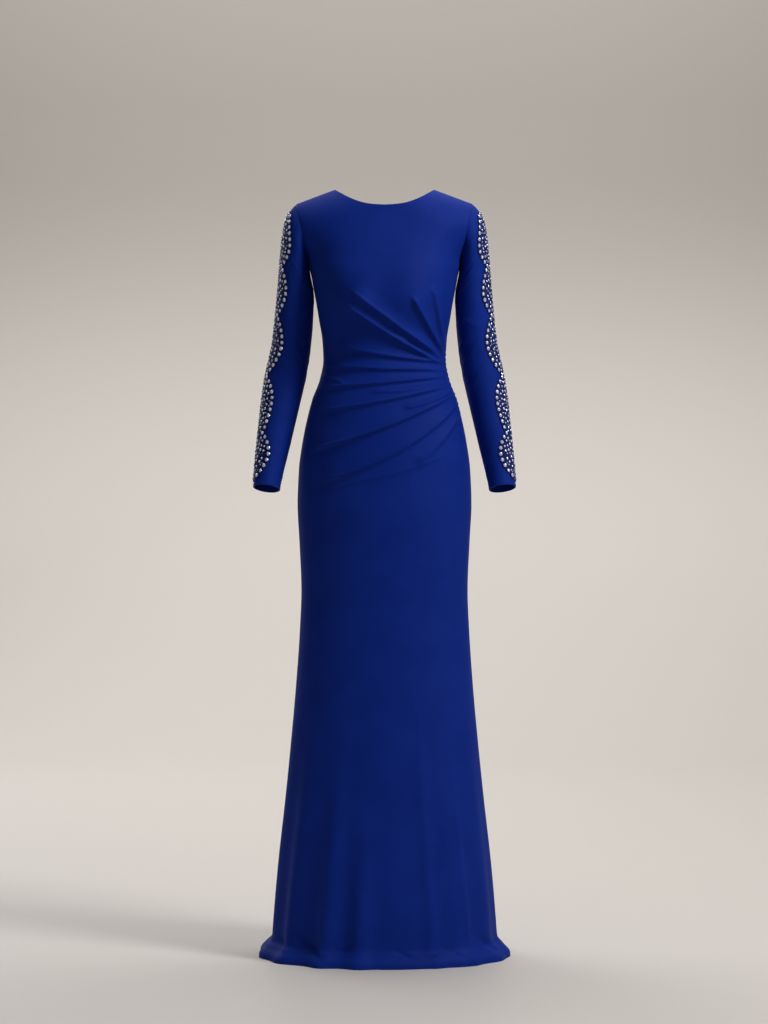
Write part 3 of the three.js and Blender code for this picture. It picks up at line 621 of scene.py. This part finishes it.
# The rolled edge of the cuff: its middle and half width from the edge, and its height
EDGE_ROLL_AT, EDGE_ROLL_HEIGHT = 2.5, 0.5


def sleeve_crease_relief(s, angle):
    degrees = np.degrees(angle)
    relief = np.zeros(np.broadcast(s, angle).shape)
    for place, middle, slant, width, reach, height in SLEEVE_CREASES:
        off = turn_between(degrees, middle)
        across = s - place - slant * off / reach
        relief += height * np.exp(-((across / width) ** 2) - (off / reach) ** 2)
    return relief


def sleeve_skin(s, angle, lift):
    """Points at a height above the sleeve's cloth, creases included."""
    height = lift + sleeve_crease_relief(s, angle)
    return sleeve_surface(s, angle) + sleeve_normals(s, angle) * height[..., None]


def sleeve(name, hand):
    s = np.linspace(0, 1, SLEEVE_ROWS + 1)[:, None]
    angle = (2 * np.pi * np.arange(SLEEVE_COLUMNS) / SLEEVE_COLUMNS)[None, :]
    if hand > 0:
        angle = angle[:, ::-1]
    normals = sleeve_normals(s, angle)
    bare = sleeve_surface(s, angle)
    from_cuff = np.linalg.norm(bare - bare[-1:], axis=-1)
    from_armhole = np.linalg.norm(bare - bare[:1], axis=-1)
    rolled_edge = EDGE_ROLL_HEIGHT * np.exp(-(((from_cuff - EDGE_ROLL_AT) / EDGE_ROLL_AT) ** 2))
    outer = sleeve_skin(s, angle, seam_relief(from_armhole) + rolled_edge)
    turned = CUFF_ROLL * (1 - smoothstep(*CUFF_HEM, from_cuff))
    inner = outer - normals * (CLOTH + turned)[..., None]
    for grid in (outer, inner):
        beyond = (grid[0] - (ARMPIT_X, 0, ARMPIT_Z)) @ ARMHOLE_OUTWARD - SEAM_GAP / 2
        grid[0] -= beyond[:, None] * ARMHOLE_OUTWARD
        grid[..., 0] *= hand
    return shell(name, outer, inner, closed=True)


sleeve_left = sleeve("sleeve_cloth_left", 1)
sleeve_right = sleeve("sleeve_cloth_right", -1)
as_cloth(sleeve_left, "sleeve_left")
as_cloth(sleeve_right, "sleeve_right")

# %% [markdown]
# ## The ground of the beadwork
# A band of beadwork runs down the outside of each sleeve from the shoulder to the cuff.
# Its edges are cut in long scallops, like the leaves of a plant. The stones sit on a dark
# blue ground that is stitched all over with tiny cut beads. The ground is a thin shell
# that lies on the sleeve's own surface, and its tiny beads come from the material later.

# %% Scalloped band
SCALLOP_TOP_Z, SCALLOP_TOP_REACH = -40, 26
# Columns: height where a scallop ends, its reach in degrees at its middle and at its end
SCALLOPS = [(-147, 71, 38), (-247, 66, 34), (-366, 68, 28), (-484, 72, 52), (-566, 88, 44)]
BAND_START, BAND_END = 0.07, 0.965
BAND_ROWS, BAND_COLUMNS = 220, 44
BAND_LIFT, BAND_THICKNESS = 0.25, 1.1
# Below 1, a scallop is fuller than a plain arc
SCALLOP_POWER = 0.7


def scallop_reach(s):
    """Half angle that the band covers at a place along the sleeve."""
    z = sleeve_surface(s, 0.0)[..., 2]
    reach = np.full(z.shape, float(SCALLOP_TOP_REACH))
    start_z, start = SCALLOP_TOP_Z, SCALLOP_TOP_REACH
    for end_z, middle, end in SCALLOPS:
        t = np.clip((start_z - z) / (start_z - end_z), 0, 1)
        chord = start + (end - start) * t
        bow = chord + (middle - chord) * np.sin(np.pi * t) ** SCALLOP_POWER
        reach = np.where(z < start_z, bow, reach)
        start_z, start = end_z, end
    return np.radians(reach)


def beadwork_ground(name, hand):
    s = np.linspace(BAND_START, BAND_END, BAND_ROWS + 1)[:, None]
    angle = scallop_reach(s) * np.linspace(-1, 1, BAND_COLUMNS + 1)[None, :] * -hand
    outer = sleeve_skin(s, angle, np.full(angle.shape, BAND_LIFT + BAND_THICKNESS))
    inner = sleeve_skin(s, angle, np.full(angle.shape, BAND_LIFT))
    return shell(name, outer * (hand, 1, 1), inner * (hand, 1, 1))


grounds = {}
for side, hand in (("left", 1), ("right", -1)):
    ground = beadwork_ground(f"beadwork_ground_{side}", hand)
    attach(ground, "gown")
    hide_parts(f"beadwork_{side}")
    grounds[side] = ground
    print(ground.name, "has", len(ground.data.polygons), "faces")

# %% [markdown]
# ## Where the stones go
# A row of large round stones outlines every scallop, set one by one at even steps. Inside
# it, smaller stones follow the outline loosely, and the rest of the band is filled with
# silver and dark beads of mixed sizes. The filling is done as an embroiderer does it:
# the largest go down first, and each smaller one is put where there is still room. The
# random choices are seeded, so the same gown comes out each time.

# %% Walk the outline and fill the band
EDGE_INSET, EDGE_STEP = 3.2, 12.0
EDGE_RADIUS = (3.5, 4.1)
WALK_POINTS = 2400
# Smallest angle and smallest radius of the sleeve that the walk divides by
LEAST_ANGLE, LEAST_RADIUS = 0.1, 12
# Filling stays this far inside the ends of the band, as a share of the sleeve, and its edges
START_MARGIN, END_MARGIN, EDGE_MARGIN = 0.004, 0.006, 0.8
# Columns: kind, radius from, radius to, room left round it, tries
FILLING = [
    ("stone", 2.2, 3.0, 2.2, 3600),
    ("silver", 1.2, 1.8, 1.7, 2200),
    ("dark", 0.9, 1.5, 0.3, 4200),
]
rng = np.random.default_rng(41)


def edge_places(sign):
    """Evenly spaced places just inside one edge of the band, as s and angle."""
    s = np.linspace(BAND_START, BAND_END, WALK_POINTS)
    angle = scallop_reach(s) * sign
    points = sleeve_surface(s, angle)
    from_middle = np.linalg.norm(points - sleeve_surface(s, 0.0), axis=-1)
    radius = from_middle / np.maximum(np.abs(angle), LEAST_ANGLE)
    angle = angle - sign * EDGE_INSET / np.maximum(radius, LEAST_RADIUS)
    points = sleeve_surface(s, angle)
    length = np.r_[0, np.cumsum(np.linalg.norm(np.diff(points, axis=0), axis=-1))]
    stops = np.arange(EDGE_STEP / 2, length[-1] - EDGE_STEP / 3, EDGE_STEP)
    return np.interp(stops, length, s), np.interp(stops, length, angle)


def fill_band():
    places, taken, sizes = [], [], []

    def put(kind, s, angle, radius, middle):
        places.append((kind, s, angle, radius))
        taken.append(middle)
        sizes.append(radius)

    for sign in (1, -1):
        for s, angle in zip(*edge_places(sign)):
            put("edge", s, angle, rng.uniform(*EDGE_RADIUS), sleeve_surface(s, angle))
    for kind, small, large, room, tries in FILLING:
        s = rng.uniform(BAND_START + START_MARGIN, BAND_END - END_MARGIN, tries)
        share = rng.uniform(-1, 1, tries)
        radius = rng.uniform(small, large, tries)
        reach = scallop_reach(s)
        angle = reach * share
        middles = sleeve_surface(s, angle)
        edge = sleeve_surface(s, reach * np.sign(share))
        inside = np.linalg.norm(middles - edge, axis=-1) > radius + EDGE_MARGIN
        for i in np.flatnonzero(inside):
            apart = np.linalg.norm(np.array(taken) - middles[i], axis=1)
            if np.all(apart > np.array(sizes) + radius[i] + room):
                put(kind, s[i], angle[i], radius[i], middles[i])
    return places


bead_places = fill_band()
for kind in ("edge", "stone", "silver", "dark"):
    print(kind, "places on each sleeve:", sum(place[0] == kind for place in bead_places))

# %% [markdown]
# ## The shape of a stone and of a bead
# A rhinestone is a faceted dome with a flat table, held in a low metal cup whose rim
# shows as a dark ring. A bead is a slightly flattened ball. Both are made once as small
# rings of points and then copied to every place, turned to face out from the sleeve.

# %% Faceted stone, its cup, and a round bead
STONE_SIDES, BEAD_SIDES, BEAD_RINGS = 12, 8, 3
# Columns: radius, height, share of a facet that the ring is turned by
STONE_RINGS = [(0.94, 0.22, 0), (0.86, 0.46, 0.5), (0.62, 0.66, 0), (0.40, 0.74, 0.5)]
CUP_RINGS = [(0.98, -0.05, 0), (1.0, 0.24, 0), (0.93, 0.34, 0), (0.90, 0.20, 0)]
# Where a bead's first and last ring lie, in half turns, its middle and its half height
BEAD_FIRST, BEAD_LAST, BEAD_MIDDLE, BEAD_HALF = -0.25, 0.36, 0.42, 0.62
STONE_TABLE, BEAD_TOP = 0.76, 1.04


def rings_to_mesh(rings, sides, cap_height=None):
    points, faces = [], []
    for radius, height, turned in rings:
        for k in range(sides):
            way = 2 * math.pi * (k + turned) / sides
            points.append((radius * math.cos(way), radius * math.sin(way), height))
    for r in range(len(rings) - 1):
        for k in range(sides):
            a, b = r * sides + k, r * sides + (k + 1) % sides
            faces.append((a, b, b + sides))
            faces.append((a, b + sides, a + sides))
    if cap_height is not None:
        points.append((0, 0, cap_height))
        last = (len(rings) - 1) * sides
        faces += [(last + k, last + (k + 1) % sides, len(points) - 1) for k in range(sides)]
    return np.array(points), np.array(faces)


def bead_rings():
    tilt = np.linspace(BEAD_FIRST, BEAD_LAST, BEAD_RINGS) * math.pi
    return [(math.cos(t), BEAD_MIDDLE + BEAD_HALF * math.sin(t), 0) for t in tilt]


STONE = rings_to_mesh(STONE_RINGS, STONE_SIDES, STONE_TABLE)
CUP = rings_to_mesh(CUP_RINGS, STONE_SIDES)
BEAD = rings_to_mesh(bead_rings(), BEAD_SIDES, BEAD_TOP)
print("faces of a stone, its cup and a bead:", len(STONE[1]), len(CUP[1]), len(BEAD[1]))

# %% Set them on both sleeves
# Each stone and bead is sunk a little into the ground
SUNK = 0.15
SEAT = BAND_LIFT + BAND_THICKNESS - SUNK


def scatter(name, shape, kinds, hand, flat=False):
    """One object with a copy of the shape at every place of these kinds."""
    chosen = [p for p in bead_places if p[0] in kinds]
    s, angle, radius = (np.array([p[i] for p in chosen]) for i in (1, 2, 3))
    normal = sleeve_normals(s, angle)
    first = unit(np.cross(normal, (0, 0, 1.0)))
    second = np.cross(normal, first)
    middle = sleeve_skin(s, angle, np.full(s.shape, SEAT))
    base, faces = shape
    x, y, z = (base[None, :, i:i + 1] for i in range(3))
    turned = x * first[:, None, :] + y * second[:, None, :] + z * normal[:, None, :]
    placed = middle[:, None, :] + radius[:, None, None] * turned
    placed = placed.reshape(-1, 3) * (hand, 1, 1)
    numbers = faces[None] + (np.arange(len(s)) * len(base))[:, None, None]
    numbers = numbers.reshape(-1, 3)
    if hand < 0:
        numbers = numbers[:, ::-1]
    piece = add_mesh(name, placed, numbers.tolist())
    if flat:
        piece.data.shade_flat()
    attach(piece, "gown")
    print(name, "has", len(chosen), "pieces")
    return piece


beads = {}
for side, hand in (("left", 1), ("right", -1)):
    beads[side] = {
        "stones": scatter(f"stones_{side}", STONE, ("edge", "stone"), hand, flat=True),
        "cups": scatter(f"stone_cups_{side}", CUP, ("edge", "stone"), hand),
        "silver": scatter(f"silver_beads_{side}", BEAD, ("silver",), hand),
        "dark": scatter(f"dark_beads_{side}", BEAD, ("dark",), hand),
    }

# %% [markdown]
# ## The concealed zip
# The zip lies inside the centre back seam and is drawn closed. From outside only its
# slider and drop pull show, just under the neck edge. Inside, two woven tapes meet at a
# nylon coil, which is one long helix, and a line of stitches holds each tape.

# %% Tapes, coil and stitching
ZIP_TOP, ZIP_BOTTOM = -27.0, -560.0
TAPE_WIDTH, TAPE_THICKNESS, TAPE_DEPTH = 10.6, 0.5, 3.0
TAPE_INNER, TAPE_ROWS, TAPE_COLUMNS = 0.15, 130, 7
COIL_RADIUS, WIRE_RADIUS, COIL_PITCH = 1.1, 0.3, 1.5
COIL_STEPS, WIRE_SIDES = 8, 5
STITCH_LENGTH, STITCH_STEP, STITCH_RADIUS = 2.4, 3.2, 0.17
STITCH_X, STITCH_MARGIN = 6.5, 4


def back_inside(x, z, depth):
    """Points inside the back, at a depth from its outer face."""
    y = depth_at(x, z, half_width(z), "back") - depth
    return np.stack(np.broadcast_arrays(x, y, z), axis=-1)


def tape(name, hand):
    z = np.linspace(ZIP_TOP, ZIP_BOTTOM, TAPE_ROWS)[:, None]
    x = np.linspace(TAPE_INNER, TAPE_WIDTH, TAPE_COLUMNS)[None, :] * hand
    if hand > 0:
        x = x[:, ::-1]
    inner = back_inside(x, z, TAPE_DEPTH + TAPE_THICKNESS)
    return shell(name, back_inside(x, z, TAPE_DEPTH), inner)


def coil():
    turns = (ZIP_TOP - ZIP_BOTTOM) / COIL_PITCH
    phase = np.arange(0, turns * COIL_STEPS) * 2 * np.pi / COIL_STEPS
    z = ZIP_TOP - phase / (2 * np.pi) * COIL_PITCH
    depth = TAPE_DEPTH + TAPE_THICKNESS + COIL_RADIUS + WIRE_RADIUS
    middle = back_inside(0.0, z, depth)
    out = np.stack([np.cos(phase), np.sin(phase), np.zeros_like(phase)], axis=-1)
    around = 2 * np.pi * np.arange(WIRE_SIDES) / WIRE_SIDES
    line = middle + out * COIL_RADIUS
    cos, sin = np.cos(around)[None, :, None], np.sin(around)[None, :, None]
    rings = line[:, None] + WIRE_RADIUS * (out[:, None] * cos + np.array([0, 0, 1.0]) * sin)
    number = np.arange(len(line) * WIRE_SIDES).reshape(-1, WIRE_SIDES)
    wrap = np.roll(number, -1, axis=1)
    quads = np.stack([number[:-1], number[1:], wrap[1:], wrap[:-1]], axis=-1).reshape(-1, 4)
    ends = [number[0].tolist(), number[-1, ::-1].tolist()]
    return add_mesh("zip_coil", rings.reshape(-1, 3), quads.tolist() + ends)


def stitches():
    ring = [STITCH_RADIUS * np.array([math.cos(way), math.sin(way), 0])
            for way in (math.pi * k / 2 for k in range(4))]
    box = [(k, (k + 1) % 4, 4 + (k + 1) % 4, 4 + k) for k in range(4)] + [(3, 2, 1, 0), (4, 5, 6, 7)]
    depth = TAPE_DEPTH + TAPE_THICKNESS
    points, faces = [], []
    for hand in (-1, 1):
        for z in np.arange(ZIP_TOP - STITCH_MARGIN, ZIP_BOTTOM + STITCH_MARGIN, -STITCH_STEP):
            start = len(points)
            ends = back_inside(STITCH_X * hand, np.array([z, z - STITCH_LENGTH]), depth)
            points += [end + off for end in ends for off in ring]
            faces += [tuple(start + corner for corner in face) for face in box]
    return add_mesh("zip_stitches", points, faces)


tapes = [tape("zip_tape_left", 1), tape("zip_tape_right", -1)]
zip_coil, zip_stitches = coil(), stitches()
for piece in (*tapes, zip_coil, zip_stitches):
    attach(piece, "gown")
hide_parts("back_zip")
print("coil turns:", round((ZIP_TOP - ZIP_BOTTOM) / COIL_PITCH))

# %% [markdown]
# ## Slider and pull
# These are hard parts, so the model's own solids are kept. A real die casting has no
# sharp edges, and a small bevel on each edge gives it the line of light it needs.

# %% Bevel the metal parts
METAL_EDGE = 0.00018
metal_parts = [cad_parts["zip_slider"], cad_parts["zip_pull"]]
for part in metal_parts:
    bevel = part.modifiers.new("soft_edges", "BEVEL")
    bevel.width = METAL_EDGE
    bevel.segments = 2
    bevel.limit_method = "ANGLE"
    print(part.name, "keeps", len(part.data.polygons), "faces")

# %% [markdown]
# ## Crepe jersey
# Crepe is woven or knitted from tightly twisted yarn, so its surface is a fine pebble
# that scatters light: it is matt face on and has a faint bloom at its edges. The bump
# here has that pebble at its true size of about a third of a millimetre, under a slower
# unevenness. Colour changes only a little from place to place, as in dyed cloth.

# %% Helpers that build a material
# The noise seldom leaves this middle range, so its two colours lie at the ends of it
RANGE_OF_NOISE = (0.35, 0.65)


def new_material(name):
    material = bpy.data.materials.new(name)
    material.use_nodes = True
    nodes, links = material.node_tree.nodes, material.node_tree.links
    shader = nodes["Principled BSDF"]
    place = nodes.new("ShaderNodeTexCoord").outputs["Object"]
    return material, nodes, links, shader, place


def set_inputs(node, values):
    for socket, value in values.items():
        node.inputs[socket].default_value = value


def noise(nodes, links, place, scale, detail=2.0):
    texture = nodes.new("ShaderNodeTexNoise")
    set_inputs(texture, {"Scale": scale, "Detail": detail})
    links.new(place, texture.inputs["Vector"])
    return texture.outputs["Fac"]


def bump(nodes, links, height, depth, strength, before=None):
    node = nodes.new("ShaderNodeBump")
    set_inputs(node, {"Distance": depth, "Strength": strength})
    links.new(height, node.inputs["Height"])
    if before is not None:
        links.new(before, node.inputs["Normal"])
    return node.outputs["Normal"]


def between(nodes, links, share, low, high):
    """Mix of two colours by a share from 0 to 1."""
    ramp = nodes.new("ShaderNodeValToRGB")
    ramp.color_ramp.interpolation = "EASE"
    for element, position, colour in zip(ramp.color_ramp.elements, RANGE_OF_NOISE, (low, high)):
        element.position = position
        element.color = (*colour, 1)
    links.new(share, ramp.inputs["Fac"])
    return ramp.outputs["Color"]


def mottle(nodes, links, shader, place, scale, low, high):
    """Let the colour drift between two by a noise of this scale."""
    colour = between(nodes, links, noise(nodes, links, place, scale), low, high)
    links.new(colour, shader.inputs["Base Color"])


def paint(material, *pieces):
    for piece in pieces:
        piece.data.materials.clear()
        piece.data.materials.append(material)
    print(material.name, "is on", [piece.name for piece in pieces])


print("two colours meet between", RANGE_OF_NOISE[0], "and", RANGE_OF_NOISE[1], "of a noise")

# %% Crepe jersey material
CREPE_DARK, CREPE_LIGHT = (0.0022, 0.0190, 0.214), (0.0030, 0.0216, 0.232)


def crepe_jersey():
    material, nodes, links, shader, place = new_material("crepe_jersey")
    mottle(nodes, links, shader, place, 14, CREPE_DARK, CREPE_LIGHT)
    unevenness = noise(nodes, links, place, scale=60)
    slow = bump(nodes, links, unevenness, depth=0.0006, strength=0.25)
    yarn = noise(nodes, links, place, scale=2400, detail=3)
    pebble = bump(nodes, links, yarn, depth=0.00018, strength=0.45, before=slow)
    links.new(pebble, shader.inputs["Normal"])
    set_inputs(shader, {"Roughness": 0.68, "Specular IOR Level": 0.08, "Sheen Weight": 0.025,
                        "Sheen Roughness": 0.4, "Sheen Tint": (0.30, 0.42, 1.0, 1)})
    return material


paint(crepe_jersey(), front, back_left, back_right, sleeve_left, sleeve_right)

# %% [markdown]
# ## Stones, beads and their ground
# A rhinestone is clear glass with a silver foil behind it, so it returns nearly all of
# the light: a half metal finish under a hard clear coat looks the same and needs no
# refraction. The beads are silvered or dark blue, and the ground is dark blue cloth
# crusted with tiny beads, which are cells of a bump and not separate pieces.

# %% Beadwork materials
STONE_DARK, STONE_LIGHT = (0.55, 0.60, 0.90), (0.82, 0.86, 1.00)
CUP_DARK, CUP_LIGHT = (0.010, 0.016, 0.075), (0.030, 0.042, 0.150)
SILVER_DARK, SILVER_LIGHT = (0.20, 0.23, 0.48), (0.74, 0.78, 0.98)
BEAD_DARK, BEAD_LIGHT = (0.0010, 0.0035, 0.040), (0.003, 0.010, 0.10)
GROUND_DARK, GROUND_LIGHT = (0.0014, 0.0075, 0.085), (0.003, 0.016, 0.17)


def mottled_finish(name, scale, low, high, values):
    """New material of one drifting colour, with plain values for its other sockets."""
    material, nodes, links, shader, place = new_material(name)
    mottle(nodes, links, shader, place, scale, low, high)
    set_inputs(shader, values)
    return material


def foiled_stone():
    return mottled_finish("foiled_stone", 160, STONE_DARK, STONE_LIGHT, {
        "Metallic": 0.5, "Roughness": 0.12, "Coat Weight": 1.0, "Coat Roughness": 0.03})


def silver_cup():
    return mottled_finish("stone_cup_metal", 300, CUP_DARK, CUP_LIGHT, {
        "Metallic": 0.9, "Roughness": 0.35})


def silvered_bead():
    return mottled_finish("silvered_bead", 420, SILVER_DARK, SILVER_LIGHT, {
        "Metallic": 0.4, "Roughness": 0.2, "Coat Weight": 0.6})


def dark_bead():
    return mottled_finish("dark_bead", 420, BEAD_DARK, BEAD_LIGHT, {
        "Roughness": 0.3, "Specular IOR Level": 0.3})


def beaded_ground():
    material, nodes, links, shader, place = new_material("beaded_ground")
    mottle(nodes, links, shader, place, 300, GROUND_DARK, GROUND_LIGHT)
    cells = nodes.new("ShaderNodeTexVoronoi")
    set_inputs(cells, {"Scale": 620})
    links.new(place, cells.inputs["Vector"])
    dome = nodes.new("ShaderNodeMath")
    dome.operation = "MULTIPLY"
    dome.inputs[1].default_value = -1
    links.new(cells.outputs["Distance"], dome.inputs[0])
    beads_bump = bump(nodes, links, dome.outputs[0], depth=0.0011, strength=1.0)
    links.new(beads_bump, shader.inputs["Normal"])
    set_inputs(shader, {"Roughness": 0.5, "Specular IOR Level": 0.15})
    return material


paint(foiled_stone(), *(beads[side]["stones"] for side in beads))
paint(silver_cup(), *(beads[side]["cups"] for side in beads))
paint(silvered_bead(), *(beads[side]["silver"] for side in beads))
paint(dark_bead(), *(beads[side]["dark"] for side in beads))
paint(beaded_ground(), *grounds.values())

# %% [markdown]
# ## Zip materials
# The tape is woven, with a fine herringbone that reads as ribs along it. The coil is
# dyed nylon. The slider and pull are cast metal with a blue enamel that wears a little
# thinner in places, so its gloss varies.

# %% Tape, coil, thread and enamel
TAPE_DARK, TAPE_LIGHT = (0.004, 0.018, 0.15), (0.006, 0.025, 0.20)
NYLON_DARK, NYLON_LIGHT = (0.004, 0.018, 0.16), (0.006, 0.024, 0.21)
ENAMEL_DARK, ENAMEL_LIGHT = (0.006, 0.022, 0.17), (0.010, 0.034, 0.24)


def woven_tape():
    material, nodes, links, shader, place = new_material("woven_tape")
    mottle(nodes, links, shader, place, 40, TAPE_DARK, TAPE_LIGHT)
    ribs = nodes.new("ShaderNodeTexWave")
    ribs.bands_direction = "DIAGONAL"
    set_inputs(ribs, {"Scale": 420})
    links.new(place, ribs.inputs["Vector"])
    weave = bump(nodes, links, ribs.outputs["Fac"], depth=0.0002, strength=0.6)
    links.new(weave, shader.inputs["Normal"])
    set_inputs(shader, {"Roughness": 0.8})
    return material


def dyed_nylon():
    return mottled_finish("dyed_nylon", 200, NYLON_DARK, NYLON_LIGHT, {"Roughness": 0.38})


def blue_enamel():
    material, nodes, links, shader, place = new_material("blue_enamel")
    mottle(nodes, links, shader, place, 500, ENAMEL_DARK, ENAMEL_LIGHT)
    ripple = noise(nodes, links, place, scale=900)
    grain = bump(nodes, links, ripple, depth=0.00005, strength=0.3)
    links.new(grain, shader.inputs["Normal"])
    set_inputs(shader, {"Metallic": 0.35, "Roughness": 0.3, "Coat Weight": 0.7})
    return material


paint(woven_tape(), *tapes)
paint(dyed_nylon(), zip_coil, zip_stitches)
paint(blue_enamel(), *metal_parts)

# %% [markdown]
# ## Floor, backdrop and light
# A studio sweep is one sheet of paper that runs down a wall and curves onto the floor.
# Its colour is painted darker towards the top, as painted shade for the light falling off
# there. The gown stands on it in soft light: one softbox high on the right of the camera
# lights the gown's left side, a weak fill from the left keeps the shaded side blue, and one
# behind it shows the form of the back. Two more light the floor and the wall. The wall is
# far enough back that the gown can also be seen from behind.

# %% Sweep
SWEEP_WIDTH, SWEEP_FRONT, SWEEP_WALL, SWEEP_TOP, SWEEP_BEND = 16.0, -9.0, 7.0, 4.0, 2.6
# The paper's colour goes from its low colour near the floor to a darker painted shade at the top
PAPER_TOP_PAINTED_SHADE, PAPER_LOW = (0.325, 0.297, 0.268), (0.61, 0.58, 0.545)
PAPER_SHADE_FADE = 2.9
BEND_STEPS = 12


def sweep():
    floor = FLOOR_Z * MM
    side = [(SWEEP_FRONT, floor), (SWEEP_WALL - SWEEP_BEND, floor)]
    for k in range(1, BEND_STEPS + 1):
        way = math.pi / 2 * k / BEND_STEPS
        y = SWEEP_WALL - SWEEP_BEND + SWEEP_BEND * math.sin(way)
        side.append((y, floor + SWEEP_BEND * (1 - math.cos(way))))
    side.append((SWEEP_WALL, SWEEP_TOP))
    points = [(x, y, z) for y, z in side for x in (-SWEEP_WIDTH / 2, SWEEP_WIDTH / 2)]
    faces = [(2 * i, 2 * i + 1, 2 * i + 3, 2 * i + 2) for i in range(len(side) - 1)]
    piece = add_mesh("sweep", np.array(points) / MM, faces)
    material, nodes, links, shader, place = new_material("studio_paper_painted_shade")
    # Painted shade: the paper's colour is made darker with height, standing in for the light falling
    # off towards the top
    split = nodes.new("ShaderNodeSeparateXYZ")
    links.new(place, split.inputs[0])
    height = nodes.new("ShaderNodeMapRange")
    set_inputs(height, {"From Min": -PAPER_SHADE_FADE, "From Max": PAPER_SHADE_FADE})
    links.new(split.outputs["Z"], height.inputs["Value"])
    colour = between(nodes, links, height.outputs[0], PAPER_LOW, PAPER_TOP_PAINTED_SHADE)
    links.new(colour, shader.inputs["Base Color"])
    set_inputs(shader, {"Roughness": 0.5})
    paint(material, piece)


sweep()

# %% Softboxes and world
# Columns: name, place, aim, width, height, power, colour
LIGHTS = [
    ("key", (1.9, -1.45, 1.45), (0.0, 0.0, -0.4), 0.8, 1.1, 70, (1.0, 0.98, 0.96)),
    ("fill", (-2.4, -4.6, 0.4), (0.0, 0.0, -0.7), 2.4, 2.4, 9, (0.92, 0.95, 1.0)),
    ("back", (-2.6, 4.4, 1.3), (0.0, 0.0, -0.7), 1.8, 1.8, 40, (0.96, 0.98, 1.0)),
    ("overhead", (0.0, 1.4, 2.6), (0.0, 1.9, -1.5), 4.5, 2.0, 116, (1.0, 0.985, 0.97)),
    ("wall", (0.0, 4.4, 3.0), (0.0, 7.0, -0.5), 6.0, 1.0, 152, (1.0, 0.985, 0.97)),
]


def softbox(name, place, aim, width, height, power, colour):
    light = bpy.data.lights.new(name, "AREA")
    light.shape = "RECTANGLE"
    light.size, light.size_y = width, height
    light.energy, light.color = power, colour
    box = bpy.data.objects.new(name, light)
    box.location = place
    box.rotation_euler = (Vector(aim) - Vector(place)).to_track_quat("-Z", "Y").to_euler()
    box.visible_camera = False
    bpy.context.scene.collection.objects.link(box)


for row in LIGHTS:
    softbox(*row)
world = bpy.data.worlds.new("studio_air")
bpy.context.scene.world = world
world.use_nodes = True
set_inputs(world.node_tree.nodes["Background"], {"Color": (0.95, 0.94, 0.93, 1), "Strength": 0.14})
bpy.context.scene.view_settings.view_transform = "Standard"
print("softboxes:", [row[0] for row in LIGHTS])

# %% [markdown]
# ## The sheets of cloth
# The sheets of cloth and the zip tapes are gathered in one list and counted.

sheets = [front, back_left, back_right, sleeve_left, sleeve_right, *grounds.values(), *tapes]
print("sheets declared:", len(sheets))
